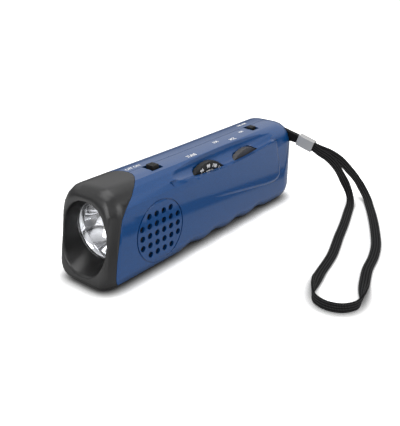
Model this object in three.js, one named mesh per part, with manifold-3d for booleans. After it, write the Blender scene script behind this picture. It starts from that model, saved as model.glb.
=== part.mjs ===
// Hand crank flashlight with a radio, lying on its finger grip, lamp towards -X, thumbwheels towards -Y.
// Millimetres, +Z up, origin under the middle of the flashlight on the surface that it lies on.
import * as THREE from "three";
import { mergeVertices } from "three/addons/utils/BufferGeometryUtils.js";
import Module from "manifold-3d";

const wasm = await Module();
wasm.setup();

// Fits shared by all pieces
const seatGap = 0.3;
const overrun = 4;
const roundSides = 24;
const smallSides = 12;

// Housing
const totalLength = 188;
const frontLength = 60.5;
const backLength = totalLength - frontLength;
const halfWidth = 20.5;
const bodyHeight = 55.5;
const rearRise = 0.9;
const bottomRadius = Math.min(0.39 * halfWidth, 0.144 * bodyHeight);
const topRadius = Math.min(0.683 * halfWidth, 0.2523 * bodyHeight);
const wall = 1.8;
const cornerSteps = 5;
const rearRoundLength = 13;
const rearRoundInset = 0.366 * halfWidth;
const rearFootLift = 0.234 * bodyHeight;
const cornerEaseShare = 0.4;
const frontRoundLength = 10;
const frontRoundInset = 4.5;
const frontRoundTop = 5.5;
const frontLeanShare = 0.17;
const frontLeanReach = 38;
const gripFromFront = frontLength;
const gripPitch = 0.188 * backLength;
const gripValleys = 4;
const gripDepth = 2.2;
const cavityFloor = 4.4;

// Lamp head
const tongueFromFront = 40;
const tongueSpread = 20;
const tongueSweep = 20;
const headDropStart = 0.9 * bodyHeight;
const headDropShares = [[0, 0], [0.2, 0.42], [0.46, 0.64], [0.66, 0.83], [1, 1]];
const headDropLength = 12.8;
const headSolidFromFront = 12;
const sleeveFromFront = 6;
const sleeveEndFromFront = 23;
const mouthHalfWidth = 0.83 * halfWidth;
const mouthHalfHeight = 0.364 * bodyHeight;
const mouthCentreZ = 0.492 * bodyHeight;
const mouthExponent = 2.3;
const mouthLip = 1.8;
const mouthLipShares = [[0, 1], [0.1, 0.55], [0.38, 0.18], [0.8, 0]];
const lampCentreZ = 0.512 * bodyHeight;
const lensFromFront = 14.5;
const lensRadius = 0.834 * halfWidth;
const lensThickness = 1.4;
const lensLedge = 0.5;
const lampWindowRadius = lensRadius - lensLedge;
const flangeThickness = 1.2;
const reflectorDepth = 12.5;
const reflectorNeckRadius = 4.2;
const reflectorWall = 1;
const ledRadius = 2.5;
const ledLength = 9;
const lampSideRoom = 9.5;
const lampBoardRadius = Math.min(halfWidth - lampSideRoom, 0.1982 * bodyHeight);
const lampBoardThickness = 1.6;
const lampHolderLength = 3;

// Speaker and its grille
const speakerFromFront = 43.4;
const speakerCentreZ = 0.434 * bodyHeight;
const speakerMargin = 2.4;
const speakerReach = speakerFromFront - sleeveEndFromFront - speakerMargin;
const speakerRadius = Math.min(speakerReach, 0.325 * bodyHeight);
const grillePitch = 0.325 * speakerRadius;
const grilleRows = 5;
const grilleColumns = 6;
const grilleHoleRadius = 0.1056 * speakerRadius;
const grilleRingWidth = 0.8;
const grilleRingRadius = speakerRadius + grilleRingWidth;
const grilleRingDepth = 0.7;
const speakerFlange = 1.2;
const speakerDepth = 6;
const coneRadius = 0.844 * speakerRadius;
const coneNeckRadius = 5;
const coneWall = 0.5;
const magnetRadius = 0.472 * speakerRadius;
const magnetDepth = 4.5;
const clothThickness = 0.4;

// Raised side panel and the scoop above it
const panelFromFront = 55;
const panelLength = 0.894 * backLength;
const panelProud = 1.3;
const panelBevel = 2.6;
const panelBevelDepth = 1.2;
const panelSink = 0.5;
const panelRiseShare = 0.96;
const panelShoulderShare = 0.24;
const panelStep = 6;
const panelShares = [[0, 1], [0.1, 0.42], [0.87, 0.01], [1.02, -0.05], [0.99, 0.28], [0.935, 1], [0.24, 1]];
const panelTopZ = 0.892 * bodyHeight;
const panelFootZ = 0.324 * bodyHeight;
const scoopFromFront = frontLength + 0.38 * backLength;
const scoopHalfLength = 0.4706 * backLength;
const scoopHalfWidth = 7.8;
const scoopHalfHeight = 9.6;
const scoopCentreZ = 0.987 * bodyHeight;

// Thumbwheels
const wheelThickness = 3.4;
const wheelFaceInset = 3.1;
const wheelKnurls = 36;
const wheelKnurlDepth = 0.35;
const wheelHubRadius = 5;
const wheelHubLength = 3;
const wheelBoreRadius = 1.2;
const wheelSlotGap = 0.7;
const tuningFromFront = frontLength + 0.2353 * backLength;
const volumeFromFront = frontLength + 0.549 * backLength;
const wheelRoom = (volumeFromFront - tuningFromFront) / 2 - wheelSlotGap;
const wheelRadius = Math.min(wheelRoom, 0.35 * bodyHeight);
const tuningTopZ = 0.9333 * bodyHeight;
const volumeTopZ = 0.9045 * bodyHeight;
const wheelScrewHeadRadius = 2.2;
const wheelScrewHeadHeight = 0.9;
const wheelScrewRadius = 0.8;

// Slide switches in the top
const switchSlotWidth = 8.6;
const lightFromFront = 55.2;
const lightSlotLength = 9.4;
const lightKnobLength = 5;
const lightKnobWidth = 5.6;
const bandFromFront = frontLength + 0.735 * backLength;
const bandSlotLength = 7.6;
const bandKnobLength = 5.2;
const bandKnobWidth = 4.2;
const knobProud = 1.6;
const sliderSkirt = 1.2;
const sliderLap = 1.4;
const sliderRidges = 3;
const sliderRidgeDepth = 0.4;
const switchBodyDepth = 5;
const switchRimThickness = 0.9;
const switchReachShare = 1.28;

// Circuit board and what it carries
const boardFromFront = frontLength + 0.0588 * backLength;
const boardLength = 0.6745 * backLength;
const boardFootZ = 8;
const boardTopRoom = 9.5;
const boardTopZ = bodyHeight - boardTopRoom;
const boardInset = 14.6;
const boardThickness = 1.5;
const capacitorSide = 17;
const potRadius = 8;
const ferriteRadius = 3.2;
const coilRadius = 4.4;
const ferriteLength = 0.3765 * backLength;
const ferriteFromFront = frontLength + 0.2157 * backLength;
const ferriteBelowWheel = 1.6;
const ferriteLow = cavityFloor + coilRadius + seatGap;
const ferriteZ = Math.max(volumeTopZ - 2 * wheelRadius - ferriteBelowWheel, ferriteLow);
const coilLength = 16;
const postRadius = 2.2;

// Crank gear train
const crankFromFront = frontLength + 0.4627 * backLength;
const crankZ = 0.4775 * bodyHeight;
const moduleLengthShare = 0.007843;
const gearRoom = 20;
const moduleHeightShare = 0.02817;
const gearModule = Math.min(moduleLengthShare * backLength, moduleHeightShare * (bodyHeight - gearRoom));
const driveTeeth = 30;
const idlerPinionTeeth = 10;
const idlerTeeth = 28;
const rotorTeeth = 10;
const toothAddendumShare = 0.85;
const toothDedendumShare = 1.15;
const toothRootShare = 0.33;
const toothTipShare = 0.13;
const gearFace = 3;
const gearLayerGap = 1;
const plateThickness = 1.3;
const gearboxDepth = 14;
const axleRadius = 2;
const fineAxleRadius = 1;
const rotorMagnetRadius = 7 * gearModule;
const rotorAirGap = 0.8;
const statorRadius = 10.5 * gearModule;
const gearboxMargin = 3.6 * gearModule;
const spacerRadius = 2.2;

// Battery pack
const cells = 3;
const cellRoom = 23.1;
const cellPitch = (bodyHeight - cellRoom) / cells;
const cellRadius = 0.4815 * cellPitch;
const cellLength = 0.188 * backLength;
const batteryFromFront = frontLength + 0.6314 * backLength;
const batteryFootZ = 9.6;
const trayThickness = 1.1;

// Crank handle
const bushRadius = 5;
const bushCollar = 1;
const armGap = 1.2;
const armThickness = 6;
const armReach = 52;
const armHalfWidth = 8.8;
const hubScrewHeadRadius = 3.4;
const hubScrewHeadHeight = 1.6;
const gripRadius = 5.5;
const gripLength = 24;
const gripGroove = 0.5;
const knobHingeRise = 5.6;
const knobHingeShare = 0.3;
const knobPostRadius = 2;
const knobEyeRadius = 3.6;
const knobPinRadius = 1.2;
const knobSlotGap = 0.6;

// Housing screws
const screwFromFront = 59.5;
const screwRearFromFront = frontLength + 0.8902 * backLength;
const screwLowZ = 9.5;
const screwTopRoom = 12.5;
const screwHighZ = bodyHeight - screwTopRoom;
const bossRadius = 3.2;
const screwRadius = 1;
const screwHeadRadius = 2.1;
const screwHeadHeight = 1.5;
const screwHeadDepth = 7;
const screwLength = 0.78 * halfWidth;

// Wrist strap: a pin in the housing, a loop round it, a crimp and one flat band doubled back into the crimp
const strapPinRadius = 1.2;
const strapPinZ = 0.849 * bodyHeight;
const strapPinInset = 4.4;
const strapPinFromSide = 8;
const strapNotchWidth = 5;
const strapNotchHeight = 9.6;
const strapNotchDepth = 12.6;
const strapLoopHalf = 3.9;
const strapLoopNeck = 2.7;
const strapLoopFall = 1.9;
const strapLoopEye = 1.5;
const strapLoopThickness = 3.6;
const strapLoopLength = 13;
const crimpLength = 12.2;
const crimpWidth = 7.6;
const crimpThickness = 5.4;
const crimpWall = 0.5;
const crimpFallShare = 0.34;
const crimpTurnShare = 0.14;
const strapWidth = 6;
const strapThickness = 1.2;
const strandOffset = 0.85;
const strapSteps = 72;
const strapUprightShare = 0.1;
const strapFlatShare = 0.17;
const strapEndShare = 0.523;
const strapEndHoldShare = 0.03;
const strapEndTurnShare = 0.07;
const strapRoute = [
  [93.6, -41.6, 39.5], [98, -46.6, 36.6], [103.8, -52.2, 31.2], [112.8, -56.8, 21.4],
  [117.7, -59, 15.9], [120.3, -61.7, 10.7], [120.1, -65.7, 5.8], [117.2, -70.2, 2.3],
  [112.1, -73.9, 1], [91, -86.6, 1], [69.5, -98.2, 1], [52.9, -106.1, 1],
  [38, -111.1, 1], [21.5, -114.9, 1], [5.9, -120.4, 1.2], [-4.6, -124.5, 2.7],
  [-13.2, -127.8, 3.4], [-21.2, -128.1, 3.4], [-27.9, -123.6, 3.4], [-30.6, -116, 3.4],
  [-28.4, -108.3, 3.4], [-22, -103.4, 3.4], [-11, -99.3, 2.7], [2, -95.4, 1.1], [14, -93, 1],
  [25, -90.5, 1], [36, -87, 1], [50, -82.2, 1], [68.1, -76.5, 1], [88.5, -69.3, 1],
  [98.9, -65.5, 1], [104.4, -63.1, 2.3], [108.1, -60.1, 6], [109.1, -56.7, 11.2],
  [107.3, -54.2, 16.7], [100.6, -51, 27.6], [95.6, -47, 34.2], [91.6, -42, 38.4],
];

// Places worked out from the sizes above
const frontX = -totalLength / 2;
const rearX = totalLength / 2;
const crankReach = halfWidth + armGap + knobHingeRise + gripRadius;
const middleY = (crankReach - halfWidth - panelProud) / 2;
const innerHalf = halfWidth - wall;
const wheelY = -halfWidth + wheelFaceInset;
const tuningZ = tuningTopZ - wheelRadius;
const volumeZ = volumeTopZ - wheelRadius;
const boardY = -halfWidth + boardInset;
const crankX = frontX + crankFromFront;
const idlerX = crankX - (gearModule * (driveTeeth + idlerPinionTeeth)) / 2;
const rotorX = idlerX - (gearModule * (idlerTeeth + rotorTeeth)) / 2;
const plateOuterY = innerHalf - seatGap - plateThickness;
const plateInnerY = plateOuterY - gearboxDepth;
const driveY = plateInnerY + plateThickness + gearLayerGap;
const idlerY = driveY + gearFace + gearLayerGap;
const armY = halfWidth + armGap;
const hingeY = armY + knobHingeRise;
const tipX = crankX - armReach;
const hingeX = tipX - knobHingeShare * armHalfWidth;
const lampX = frontX + lensFromFront;

// Finishes
const finish = (color, roughness, metalness = 0) => new THREE.MeshStandardMaterial(
  { color, roughness, metalness },
);
const bluePaint = finish(0x1f4f9c, 0.3, 0.4);
const blackPlastic = finish(0x1c1c1e, 0.5);
const greyPlastic = finish(0x55565a, 0.6);
const whitePlastic = finish(0xe8e6dc, 0.5);
const chrome = finish(0xe8eaec, 0.1, 1);
const steel = finish(0xb4b6b8, 0.35, 1);
const brass = finish(0xb99a4e, 0.35, 1);
const clearPlastic = finish(0xdfe9ee, 0.05);
const boardGreen = finish(0x1d6b3a, 0.6);
const copper = finish(0xb5662c, 0.4, 0.8);
const ferrite = finish(0x3a3634, 0.8);
const paper = finish(0x2a2a2c, 0.9);
const nylon = finish(0x141416, 0.9);
const cellGreen = finish(0x3f8f5a, 0.5);

// A closed geometry as a solid that can be joined and cut
function solid(geometry) {
  const bare = geometry.clone();
  bare.deleteAttribute("normal");
  bare.deleteAttribute("uv");
  const merged = mergeVertices(bare, 1e-4);
  return new wasm.Manifold(
    new wasm.Mesh({
      numProp: 3,
      vertProperties: merged.attributes.position.array,
      triVerts: new Uint32Array(merged.index.array),
    }),
  );
}

function geometryOf(body) {
  const mesh = body.getMesh();
  const geometry = new THREE.BufferGeometry();
  geometry.setAttribute("position", new THREE.BufferAttribute(new Float32Array(mesh.vertProperties), 3));
  geometry.setIndex(new THREE.BufferAttribute(new Uint32Array(mesh.triVerts), 1));
  geometry.computeVertexNormals();
  return geometry;
}

const join = (first, ...others) => others.reduce((whole, piece) => whole.add(piece), first);
const cut = (first, ...others) => others.reduce((whole, piece) => whole.subtract(piece), first);

// Plain solids, each placed where it lies
function block(x0, x1, y0, y1, z0, z1) {
  const geometry = new THREE.BoxGeometry(x1 - x0, y1 - y0, z1 - z0);
  return solid(geometry.translate((x0 + x1) / 2, (y0 + y1) / 2, (z0 + z1) / 2));
}

function rodY(radius, y0, y1, x, z, sides = roundSides) {
  const geometry = new THREE.CylinderGeometry(radius, radius, y1 - y0, sides);
  return solid(geometry.translate(x, (y0 + y1) / 2, z));
}

function rodX(radius, x0, x1, y, z, sides = roundSides) {
  const geometry = new THREE.CylinderGeometry(radius, radius, x1 - x0, sides).rotateZ(Math.PI / 2);
  return solid(geometry.translate((x0 + x1) / 2, y, z));
}

function rodZ(radius, z0, z1, x, y, sides = roundSides) {
  const geometry = new THREE.CylinderGeometry(radius, radius, z1 - z0, sides).rotateX(Math.PI / 2);
  return solid(geometry.translate(x, y, (z0 + z1) / 2));
}

// A profile of [radius, height] pairs turned about an axis; the profile runs round its section anticlockwise
function turned(profile, sides = roundSides) {
  return new THREE.LatheGeometry(profile.map(([r, h]) => new THREE.Vector2(r, h)), sides);
}

const turnedAlongX = (profile, x, y, z, sides) => solid(
  turned(profile, sides).rotateZ(-Math.PI / 2).translate(x, y, z),
);
const turnedAlongY = (profile, x, y, z, sides) => solid(turned(profile, sides).translate(x, y, z));

// A flat outline drawn in X and Z, as thick as y0 to y1
function plateY(shape, y0, y1, x = 0, z = 0) {
  const geometry = new THREE.ExtrudeGeometry(
    shape, { depth: y1 - y0, bevelEnabled: false, curveSegments: smallSides },
  );
  return solid(geometry.rotateX(Math.PI / 2).translate(x, y1, z));
}

// Rings of equal count from front to rear, each anticlockwise seen from +X, closed by a fan at both ends
function loft(rings) {
  const count = rings[0].length;
  const positions = [];
  const faces = [];
  rings.forEach((ring) => ring.forEach((point) => positions.push(...point)));
  const endPoint = (ring) => ring.reduce((sum, p) => sum.map((v, k) => v + p[k] / count), [0, 0, 0]);
  const frontPoint = rings.length * count;
  const rearPoint = frontPoint + 1;
  positions.push(...endPoint(rings[0]), ...endPoint(rings[rings.length - 1]));
  const lastRing = (rings.length - 1) * count;
  for (let j = 0; j < count; j += 1) {
    const next = (j + 1) % count;
    for (let i = 0; i < rings.length - 1; i += 1) {
      const near = i * count;
      const far = near + count;
      faces.push(near + j, near + next, far + next, near + j, far + next, far + j);
    }
    faces.push(frontPoint, next, j, rearPoint, lastRing + j, lastRing + next);
  }
  const geometry = new THREE.BufferGeometry();
  geometry.setAttribute("position", new THREE.Float32BufferAttribute(positions, 3));
  geometry.setIndex(faces);
  return solid(geometry);
}

// One cross-section of the housing: a rectangle with round corners, set in by inset all round
function section(half, low, high, lowRadius, highRadius) {
  const points = [];
  const corner = (y, z, radius, quarter) => {
    for (let k = 0; k <= cornerSteps; k += 1) {
      const angle = (quarter + k / cornerSteps) * (Math.PI / 2);
      points.push([y + radius * Math.cos(angle), z + radius * Math.sin(angle)]);
    }
  };
  corner(half - lowRadius, low + lowRadius, lowRadius, -1);
  corner(half - highRadius, high - highRadius, highRadius, 0);
  corner(highRadius - half, high - highRadius, highRadius, 1);
  corner(lowRadius - half, low + lowRadius, lowRadius, 2);
  return points;
}

const roundOver = (share) => 1 - Math.sqrt(Math.max(0, 1 - share * share));
const clamp01 = (value) => Math.min(1, Math.max(0, value));

// How far the sides are drawn in at the two ends of the housing
function endInset(x) {
  const rear = roundOver(clamp01((x - rearX + rearRoundLength) / rearRoundLength)) * rearRoundInset;
  const front = roundOver(clamp01((frontX + frontRoundLength - x) / frontRoundLength)) * frontRoundInset;
  return rear + front;
}

function gripLift(x) {
  const along = (x - frontX - gripFromFront) / gripPitch;
  return along > 0 && along < gripValleys ? gripDepth * Math.sin(Math.PI * along) ** 2 : 0;
}

// The front leans back, more towards the top, and the lean fades out along the head
function leanBack(x, z) {
  const fade = 1 - clamp01((x - frontX) / frontLeanReach);
  return x + frontLeanShare * (z - frontRoundInset) * fade;
}

function housingRing(x) {
  const drawIn = endInset(x);
  const front = roundOver(clamp01((frontX + frontRoundLength - x) / frontRoundLength));
  const rear = roundOver(clamp01((x - rearX + rearRoundLength) / rearRoundLength));
  const low = gripLift(x) + front * frontRoundInset + rear * rearFootLift;
  const rise = rearRise * clamp01(x / rearX);
  const high = bodyHeight + rise - drawIn - front * (frontRoundTop - frontRoundInset);
  const points = section(halfWidth - drawIn, low, high, bottomRadius, topRadius - cornerEaseShare * drawIn);
  return points.map(([y, z]) => [leanBack(x, z), y, z]);
}

function housingStations() {
  const stations = [];
  const ends = 5;
  for (let k = ends; k > 0; k -= 1) {
    stations.push(frontX + frontRoundLength * (1 - Math.sin((k / ends) * (Math.PI / 2))));
  }
  const frontEnd = frontX + frontRoundLength;
  const gripStart = frontX + gripFromFront;
  const rearStart = rearX - rearRoundLength;
  const headSteps = 4;
  for (let k = 0; k < headSteps; k += 1) {
    stations.push(frontEnd + ((frontX + frontLeanReach - frontEnd) * k) / headSteps);
  }
  stations.push(frontX + frontLeanReach);
  const waveSteps = 6;
  for (let k = 0; k <= gripValleys * waveSteps; k += 1) {
    stations.push(gripStart + (gripPitch * k) / waveSteps);
  }
  for (let k = 0; k <= ends; k += 1) {
    stations.push(rearStart + rearRoundLength * Math.sin((k / ends) * (Math.PI / 2)));
  }
  return stations;
}

const housingSolid = () => loft(housingStations().map(housingRing));

// The hollow of the housing, open to the front, set in by the wall and any more that is asked for
const cavityRoundShares = [0, 0.35, 0.65, 0.85, 0.95, 1];

function cavitySolid(more) {
  const inset = wall + more;
  const start = frontX - overrun;
  const end = rearX - rearRoundLength;
  const ring = (x, drawIn) => {
    const high = bodyHeight + rearRise * clamp01(x / rearX) - inset - drawIn;
    const low = cavityFloor + more + (drawIn * rearFootLift) / rearRoundInset;
    const ease = cornerEaseShare * drawIn;
    const points = section(
      halfWidth - inset - drawIn, low, high, bottomRadius - inset, topRadius - inset - ease,
    );
    return points.map(([y, z]) => [x, y, z]);
  };
  const rings = [ring(start, 0), ring(0, 0)];
  cavityRoundShares.forEach((share) => {
    rings.push(ring(end + share * (rearRoundLength - inset), roundOver(share) * rearRoundInset));
  });
  return loft(rings);
}

// Where the black head meets the blue housing, as an X for each place across and up
function headEdge(y, z) {
  const across = (y / tongueSpread) ** 2 * tongueSweep;
  const down = clamp01((headDropStart - z) / headDropStart);
  const index = headDropShares.findIndex(([share]) => share >= down);
  const [highShare, highDrop] = headDropShares[Math.max(index, 1)];
  const [lowShare, lowDrop] = headDropShares[Math.max(index, 1) - 1];
  const drop = lowDrop + ((highDrop - lowDrop) * (down - lowShare)) / (highShare - lowShare);
  return frontX + tongueFromFront - across - drop * headDropLength;
}

// Everything in front of that edge, moved by a gap
function headSide(gap) {
  const steps = 14;
  const reachY = halfWidth + overrun;
  const lowZ = -overrun;
  const highZ = bodyHeight + overrun;
  const rings = [];
  for (let i = 0; i <= steps; i += 1) {
    const y = -reachY + (2 * reachY * i) / steps;
    const column = [];
    for (let j = 0; j <= steps; j += 1) {
      const z = lowZ + ((highZ - lowZ) * j) / steps;
      column.push([headEdge(y, z) + gap, y, z]);
    }
    column.push([frontX - overrun, y, highZ], [frontX - overrun, y, lowZ]);
    rings.push(column.reverse());
  }
  return loft(rings);
}

const housing = housingSolid();
const cavity = cavitySolid(0);
const headFront = block(frontX - overrun, frontX + headSolidFromFront, -halfWidth, halfWidth, 0, bodyHeight);

// How far the front face falls back towards its round edge at a distance from the middle
function faceFall(y) {
  const left = Math.min(halfWidth - Math.abs(y), frontRoundInset);
  const share = 1 - left / frontRoundInset;
  return frontRoundLength * (1 - Math.sqrt(Math.max(0, 1 - share * share)));
}

function superellipseRing(x, half, halfHeight, centreZ, exponent, lean) {
  const points = [];
  for (let k = 0; k < roundSides; k += 1) {
    const angle = (k / roundSides) * 2 * Math.PI;
    const bend = (value) => Math.sign(value) * Math.abs(value) ** (2 / exponent);
    const z = centreZ + halfHeight * bend(Math.sin(angle));
    points.push([lean ? leanBack(x, z) : x, half * bend(Math.cos(angle)), z]);
  }
  return points;
}

// The funnel in front of the lamp: a soft rectangle at the mouth that narrows to the round lens window
function mouthFunnel() {
  const mouthRing = (x, more) => superellipseRing(
    x, mouthHalfWidth + more, mouthHalfHeight + more, mouthCentreZ, mouthExponent, true,
  );
  const lip = mouthLipShares.map(([out, deep]) => (
    mouthRing(frontX, out * mouthLip).map(([x, y, z]) => [x + faceFall(y) + deep * mouthLip, y, z])
  )).reverse();
  const outside = lip[0].map(([x, y, z]) => [x - overrun, y, z]);
  const window = superellipseRing(lampX, lampWindowRadius, lampWindowRadius, lampCentreZ, 2, false);
  const behind = superellipseRing(lampX + overrun, lampWindowRadius, lampWindowRadius, lampCentreZ, 2, false);
  return loft([outside, ...lip, window, behind]);
}

function headBezel() {
  const skin = cut(housing, cavity).intersect(headSide(0));
  const nose = housing.intersect(headSide(0)).intersect(headFront);
  const sleeveBlock = block(
    frontX + sleeveFromFront,
    frontX + sleeveEndFromFront,
    -halfWidth,
    halfWidth,
    0,
    bodyHeight,
  );
  const sleeve = cavitySolid(seatGap).intersect(sleeveBlock).intersect(housing);
  const seat = rodX(
    lensRadius + seatGap, lampX, frontX + sleeveEndFromFront + overrun, 0, lampCentreZ, 2 * roundSides,
  );
  return cut(join(skin, nose, sleeve), mouthFunnel(), seat);
}

// The lamp
const lens = () => rodX(
  lensRadius, lampX + seatGap, lampX + seatGap + lensThickness, 0, lampCentreZ, 2 * roundSides,
);

function reflectorProfile(offset) {
  const steps = 5;
  const points = [];
  for (let k = 0; k <= steps; k += 1) {
    const share = k / steps;
    const radius = reflectorNeckRadius + (lampWindowRadius - reflectorNeckRadius - reflectorWall) * Math.sqrt(
      share,
    );
    points.push([radius + offset, (1 - share) * reflectorDepth]);
  }
  return points;
}

function reflector() {
  const x = lampX + lensThickness + 2 * seatGap;
  const inside = reflectorProfile(0);
  const outside = reflectorProfile(reflectorWall).reverse();
  const flange = [[lensRadius, 0], [lensRadius, flangeThickness]];
  outside[0] = [lampWindowRadius, flangeThickness];
  return turnedAlongX([...inside, ...flange, ...outside, inside[0]], x, 0, lampCentreZ, 2 * roundSides);
}

const reflectorEnd = lampX + lensThickness + 2 * seatGap + reflectorDepth;

function ledLamp() {
  const dome = [];
  for (let k = 0; k <= 4; k += 1) {
    const angle = (k / 4) * (Math.PI / 2);
    dome.push([ledRadius * Math.sin(angle), ledRadius * (1 - Math.cos(angle))]);
  }
  const profile = [...dome, [ledRadius, ledLength], [0, ledLength]];
  return turnedAlongX(profile, reflectorEnd - ledLength + seatGap, 0, lampCentreZ);
}

const lampBoardX = reflectorEnd + 2 * seatGap;
const lampBoard = () => rodX(lampBoardRadius, lampBoardX, lampBoardX + lampBoardThickness, 0, lampCentreZ);

// A cup behind the lamp's board, carried by the top of the housing on a rib
function lampHolder() {
  const x = lampBoardX + lampBoardThickness + seatGap;
  const high = bodyHeight - wall - seatGap;
  const low = cavityFloor + seatGap;
  const cup = rodX(lampBoardRadius, x, x + lampHolderLength, 0, lampCentreZ);
  const rib = block(x, x + lampHolderLength, -postRadius, postRadius, low, high);
  const hollow = rodX(lampBoardRadius - wall, x - overrun, x + lampHolderLength - wall, 0, lampCentreZ);
  return cut(join(cup, rib), hollow);
}

// Speaker
const speakerX = frontX + speakerFromFront;
const clothY = -innerHalf + seatGap;
const speakerY = clothY + clothThickness + seatGap;
const speakerCloth = () => rodY(speakerRadius, clothY, clothY + clothThickness, speakerX, speakerCentreZ);

function speakerFrame() {
  const y = speakerFlange;
  const profile = [
    [coneRadius + seatGap, 0],
    [speakerRadius, 0],
    [speakerRadius, y],
    [coneRadius + wall / 2, y],
    [magnetRadius, speakerDepth],
    [coneNeckRadius + seatGap, speakerDepth],
    [coneNeckRadius + seatGap, speakerDepth - y],
    [coneRadius + seatGap, y],
    [coneRadius + seatGap, 0],
  ];
  return turnedAlongY(profile, speakerX, speakerY, speakerCentreZ);
}

function speakerCone() {
  const rise = speakerDepth - 2 * speakerFlange;
  const profile = [
    [0, rise - coneWall],
    [coneNeckRadius - seatGap, rise - coneWall],
    [coneRadius - coneWall, 0],
    [coneRadius, 0],
    [coneNeckRadius, rise],
    [0, rise],
  ];
  return turnedAlongY(profile, speakerX, speakerY, speakerCentreZ);
}

const magnetY = speakerY + speakerDepth + seatGap;
const speakerMagnet = () => rodY(magnetRadius, magnetY, magnetY + magnetDepth, speakerX, speakerCentreZ);

// A flat seat for the speaker, let into the round lower edge of the shell
const speakerSeat = () => rodY(
  speakerRadius + seatGap,
  -innerHalf,
  -innerHalf + speakerDepth,
  speakerX,
  speakerCentreZ,
  2 * roundSides,
);

function grilleHoles() {
  const holes = [];
  for (let row = 0; row < grilleRows; row += 1) {
    for (let column = 0; column < grilleColumns; column += 1) {
      const edgeRow = row === 0 || row === grilleRows - 1;
      const edgeColumn = column === 0 || column === grilleColumns - 1;
      const cornerHole = edgeRow && edgeColumn;
      if (!cornerHole) {
        const x = speakerX + (column - (grilleColumns - 1) / 2) * grillePitch;
        const z = speakerCentreZ + (row - (grilleRows - 1) / 2) * grillePitch;
        holes.push(
          rodY(grilleHoleRadius, -halfWidth - overrun, -innerHalf + overrun / 4, x, z, smallSides - 2),
        );
      }
    }
  }
  return holes;
}

function grilleRing() {
  const half = grilleRingWidth / 2;
  const profile = [
    [grilleRingRadius - half, -overrun],
    [grilleRingRadius + half, -overrun],
    [grilleRingRadius + half, grilleRingDepth],
    [grilleRingRadius - half, grilleRingDepth],
    [grilleRingRadius - half, -overrun],
  ];
  return turnedAlongY(profile, speakerX, -halfWidth, speakerCentreZ, 2 * roundSides);
}

// How far the round shoulder of the housing falls back from its flat side at a height
function shoulderInset(z) {
  const up = Math.max(z - bodyHeight + topRadius, 0);
  return topRadius - Math.sqrt(topRadius ** 2 - up ** 2);
}

// The raised panel on the side of the thumbwheels: it rises out of the side from front to rear
function panelSolid() {
  const x0 = frontX + panelFromFront;
  const high = panelTopZ - panelFootZ;
  const at = ([along, up]) => [x0 + along * panelLength, panelFootZ + up * high];
  const [topFront, lowFront, lowRear, corner, rearFoot, rearTop, topMiddle] = panelShares;
  const shape = new THREE.Shape();
  shape.moveTo(...at(topFront));
  shape.lineTo(...at(lowFront));
  shape.lineTo(...at(lowRear));
  shape.quadraticCurveTo(...at(corner), ...at(rearFoot));
  shape.lineTo(...at(rearTop));
  shape.lineTo(...at(topMiddle));
  const geometry = new THREE.ExtrudeGeometry(shape, {
    depth: wall + panelProud - panelBevelDepth,
    bevelThickness: panelBevelDepth,
    bevelSize: panelBevel,
    bevelOffset: -panelBevel,
    bevelSegments: 3,
    curveSegments: 4,
  });
  geometry.rotateX(Math.PI / 2).translate(0, -innerHalf, 0);
  return solid(geometry).refineToLength(panelStep).warp((place) => {
    const proud = -halfWidth - place[1];
    const share = clamp01((place[0] - x0) / (panelRiseShare * panelLength));
    if (proud > 0) {
      const follow = 1 - clamp01(share / panelShoulderShare);
      const sink = panelSink * (1 - share) + follow * shoulderInset(place[2]);
      place[1] = -halfWidth - proud * share + sink;
    }
  });
}

function scoopSolid(more) {
  const ball = new THREE.SphereGeometry(1, 2 * roundSides, roundSides / 2);
  ball.scale(scoopHalfLength + more, scoopHalfWidth + more, scoopHalfHeight + more);
  return solid(ball.translate(frontX + scoopFromFront, -halfWidth + scoopHalfWidth / 5, scoopCentreZ));
}

// The slot that a thumbwheel comes out of
function wheelSlot(fromFront, axisZ) {
  const x = frontX + fromFront;
  const y0 = wheelY - wheelSlotGap;
  const y1 = wheelY + wheelThickness + wheelSlotGap;
  return rodY(wheelRadius + wheelSlotGap, y0, y1, x, axisZ, 2 * roundSides);
}

function switchSlot(fromFront, length) {
  const x = frontX + fromFront;
  const high = bodyHeight + rearRise + overrun;
  return block(x - length / 2, x + length / 2, -switchSlotWidth, overrun, bodyHeight - wall - overrun, high);
}

// Screw bosses run from the side walls to the middle plane
const screwPlaces = [
  [frontX + screwFromFront, screwLowZ],
  [frontX + screwFromFront, screwHighZ],
  [frontX + screwRearFromFront, screwLowZ],
  [frontX + screwRearFromFront, screwHighZ],
];

const bosses = (side) => screwPlaces.map(([x, z]) => rodY(
  bossRadius,
  side < 0 ? -halfWidth + wall / 2 : seatGap / 2,
  side < 0 ? -seatGap / 2 : halfWidth - wall / 2,
  x,
  z,
  smallSides,
));

const boardPostPlaces = () => {
  const x0 = frontX + boardFromFront + 2 * postRadius;
  const x1 = frontX + boardFromFront + boardLength - 2 * postRadius;
  const z0 = boardFootZ + postRadius;
  return [[x0, z0], [x1, z0], [x0, boardTopZ - postRadius], [x1, boardTopZ - postRadius]];
};

function halfSpace(side) {
  const y0 = side < 0 ? -halfWidth - overrun : seatGap / 2;
  const y1 = side < 0 ? -seatGap / 2 : halfWidth + overrun;
  return block(frontX - overrun, rearX + overrun, y0, y1, -overrun, bodyHeight + overrun);
}

const blueBody = cut(housing, headSide(seatGap));

// A notch in the rear corner with a pin across it, for the loop of the wrist strap
const strapPinX = rearX - strapPinInset;
const strapNotchEnd = -halfWidth + strapNotchDepth;

function strapNotch() {
  const half = strapNotchWidth / 2;
  const reach = strapNotchHeight / 2;
  return block(
    strapPinX - half, strapPinX + half, -halfWidth - overrun,
    strapNotchEnd, strapPinZ - reach, strapPinZ + reach,
  );
}

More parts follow.
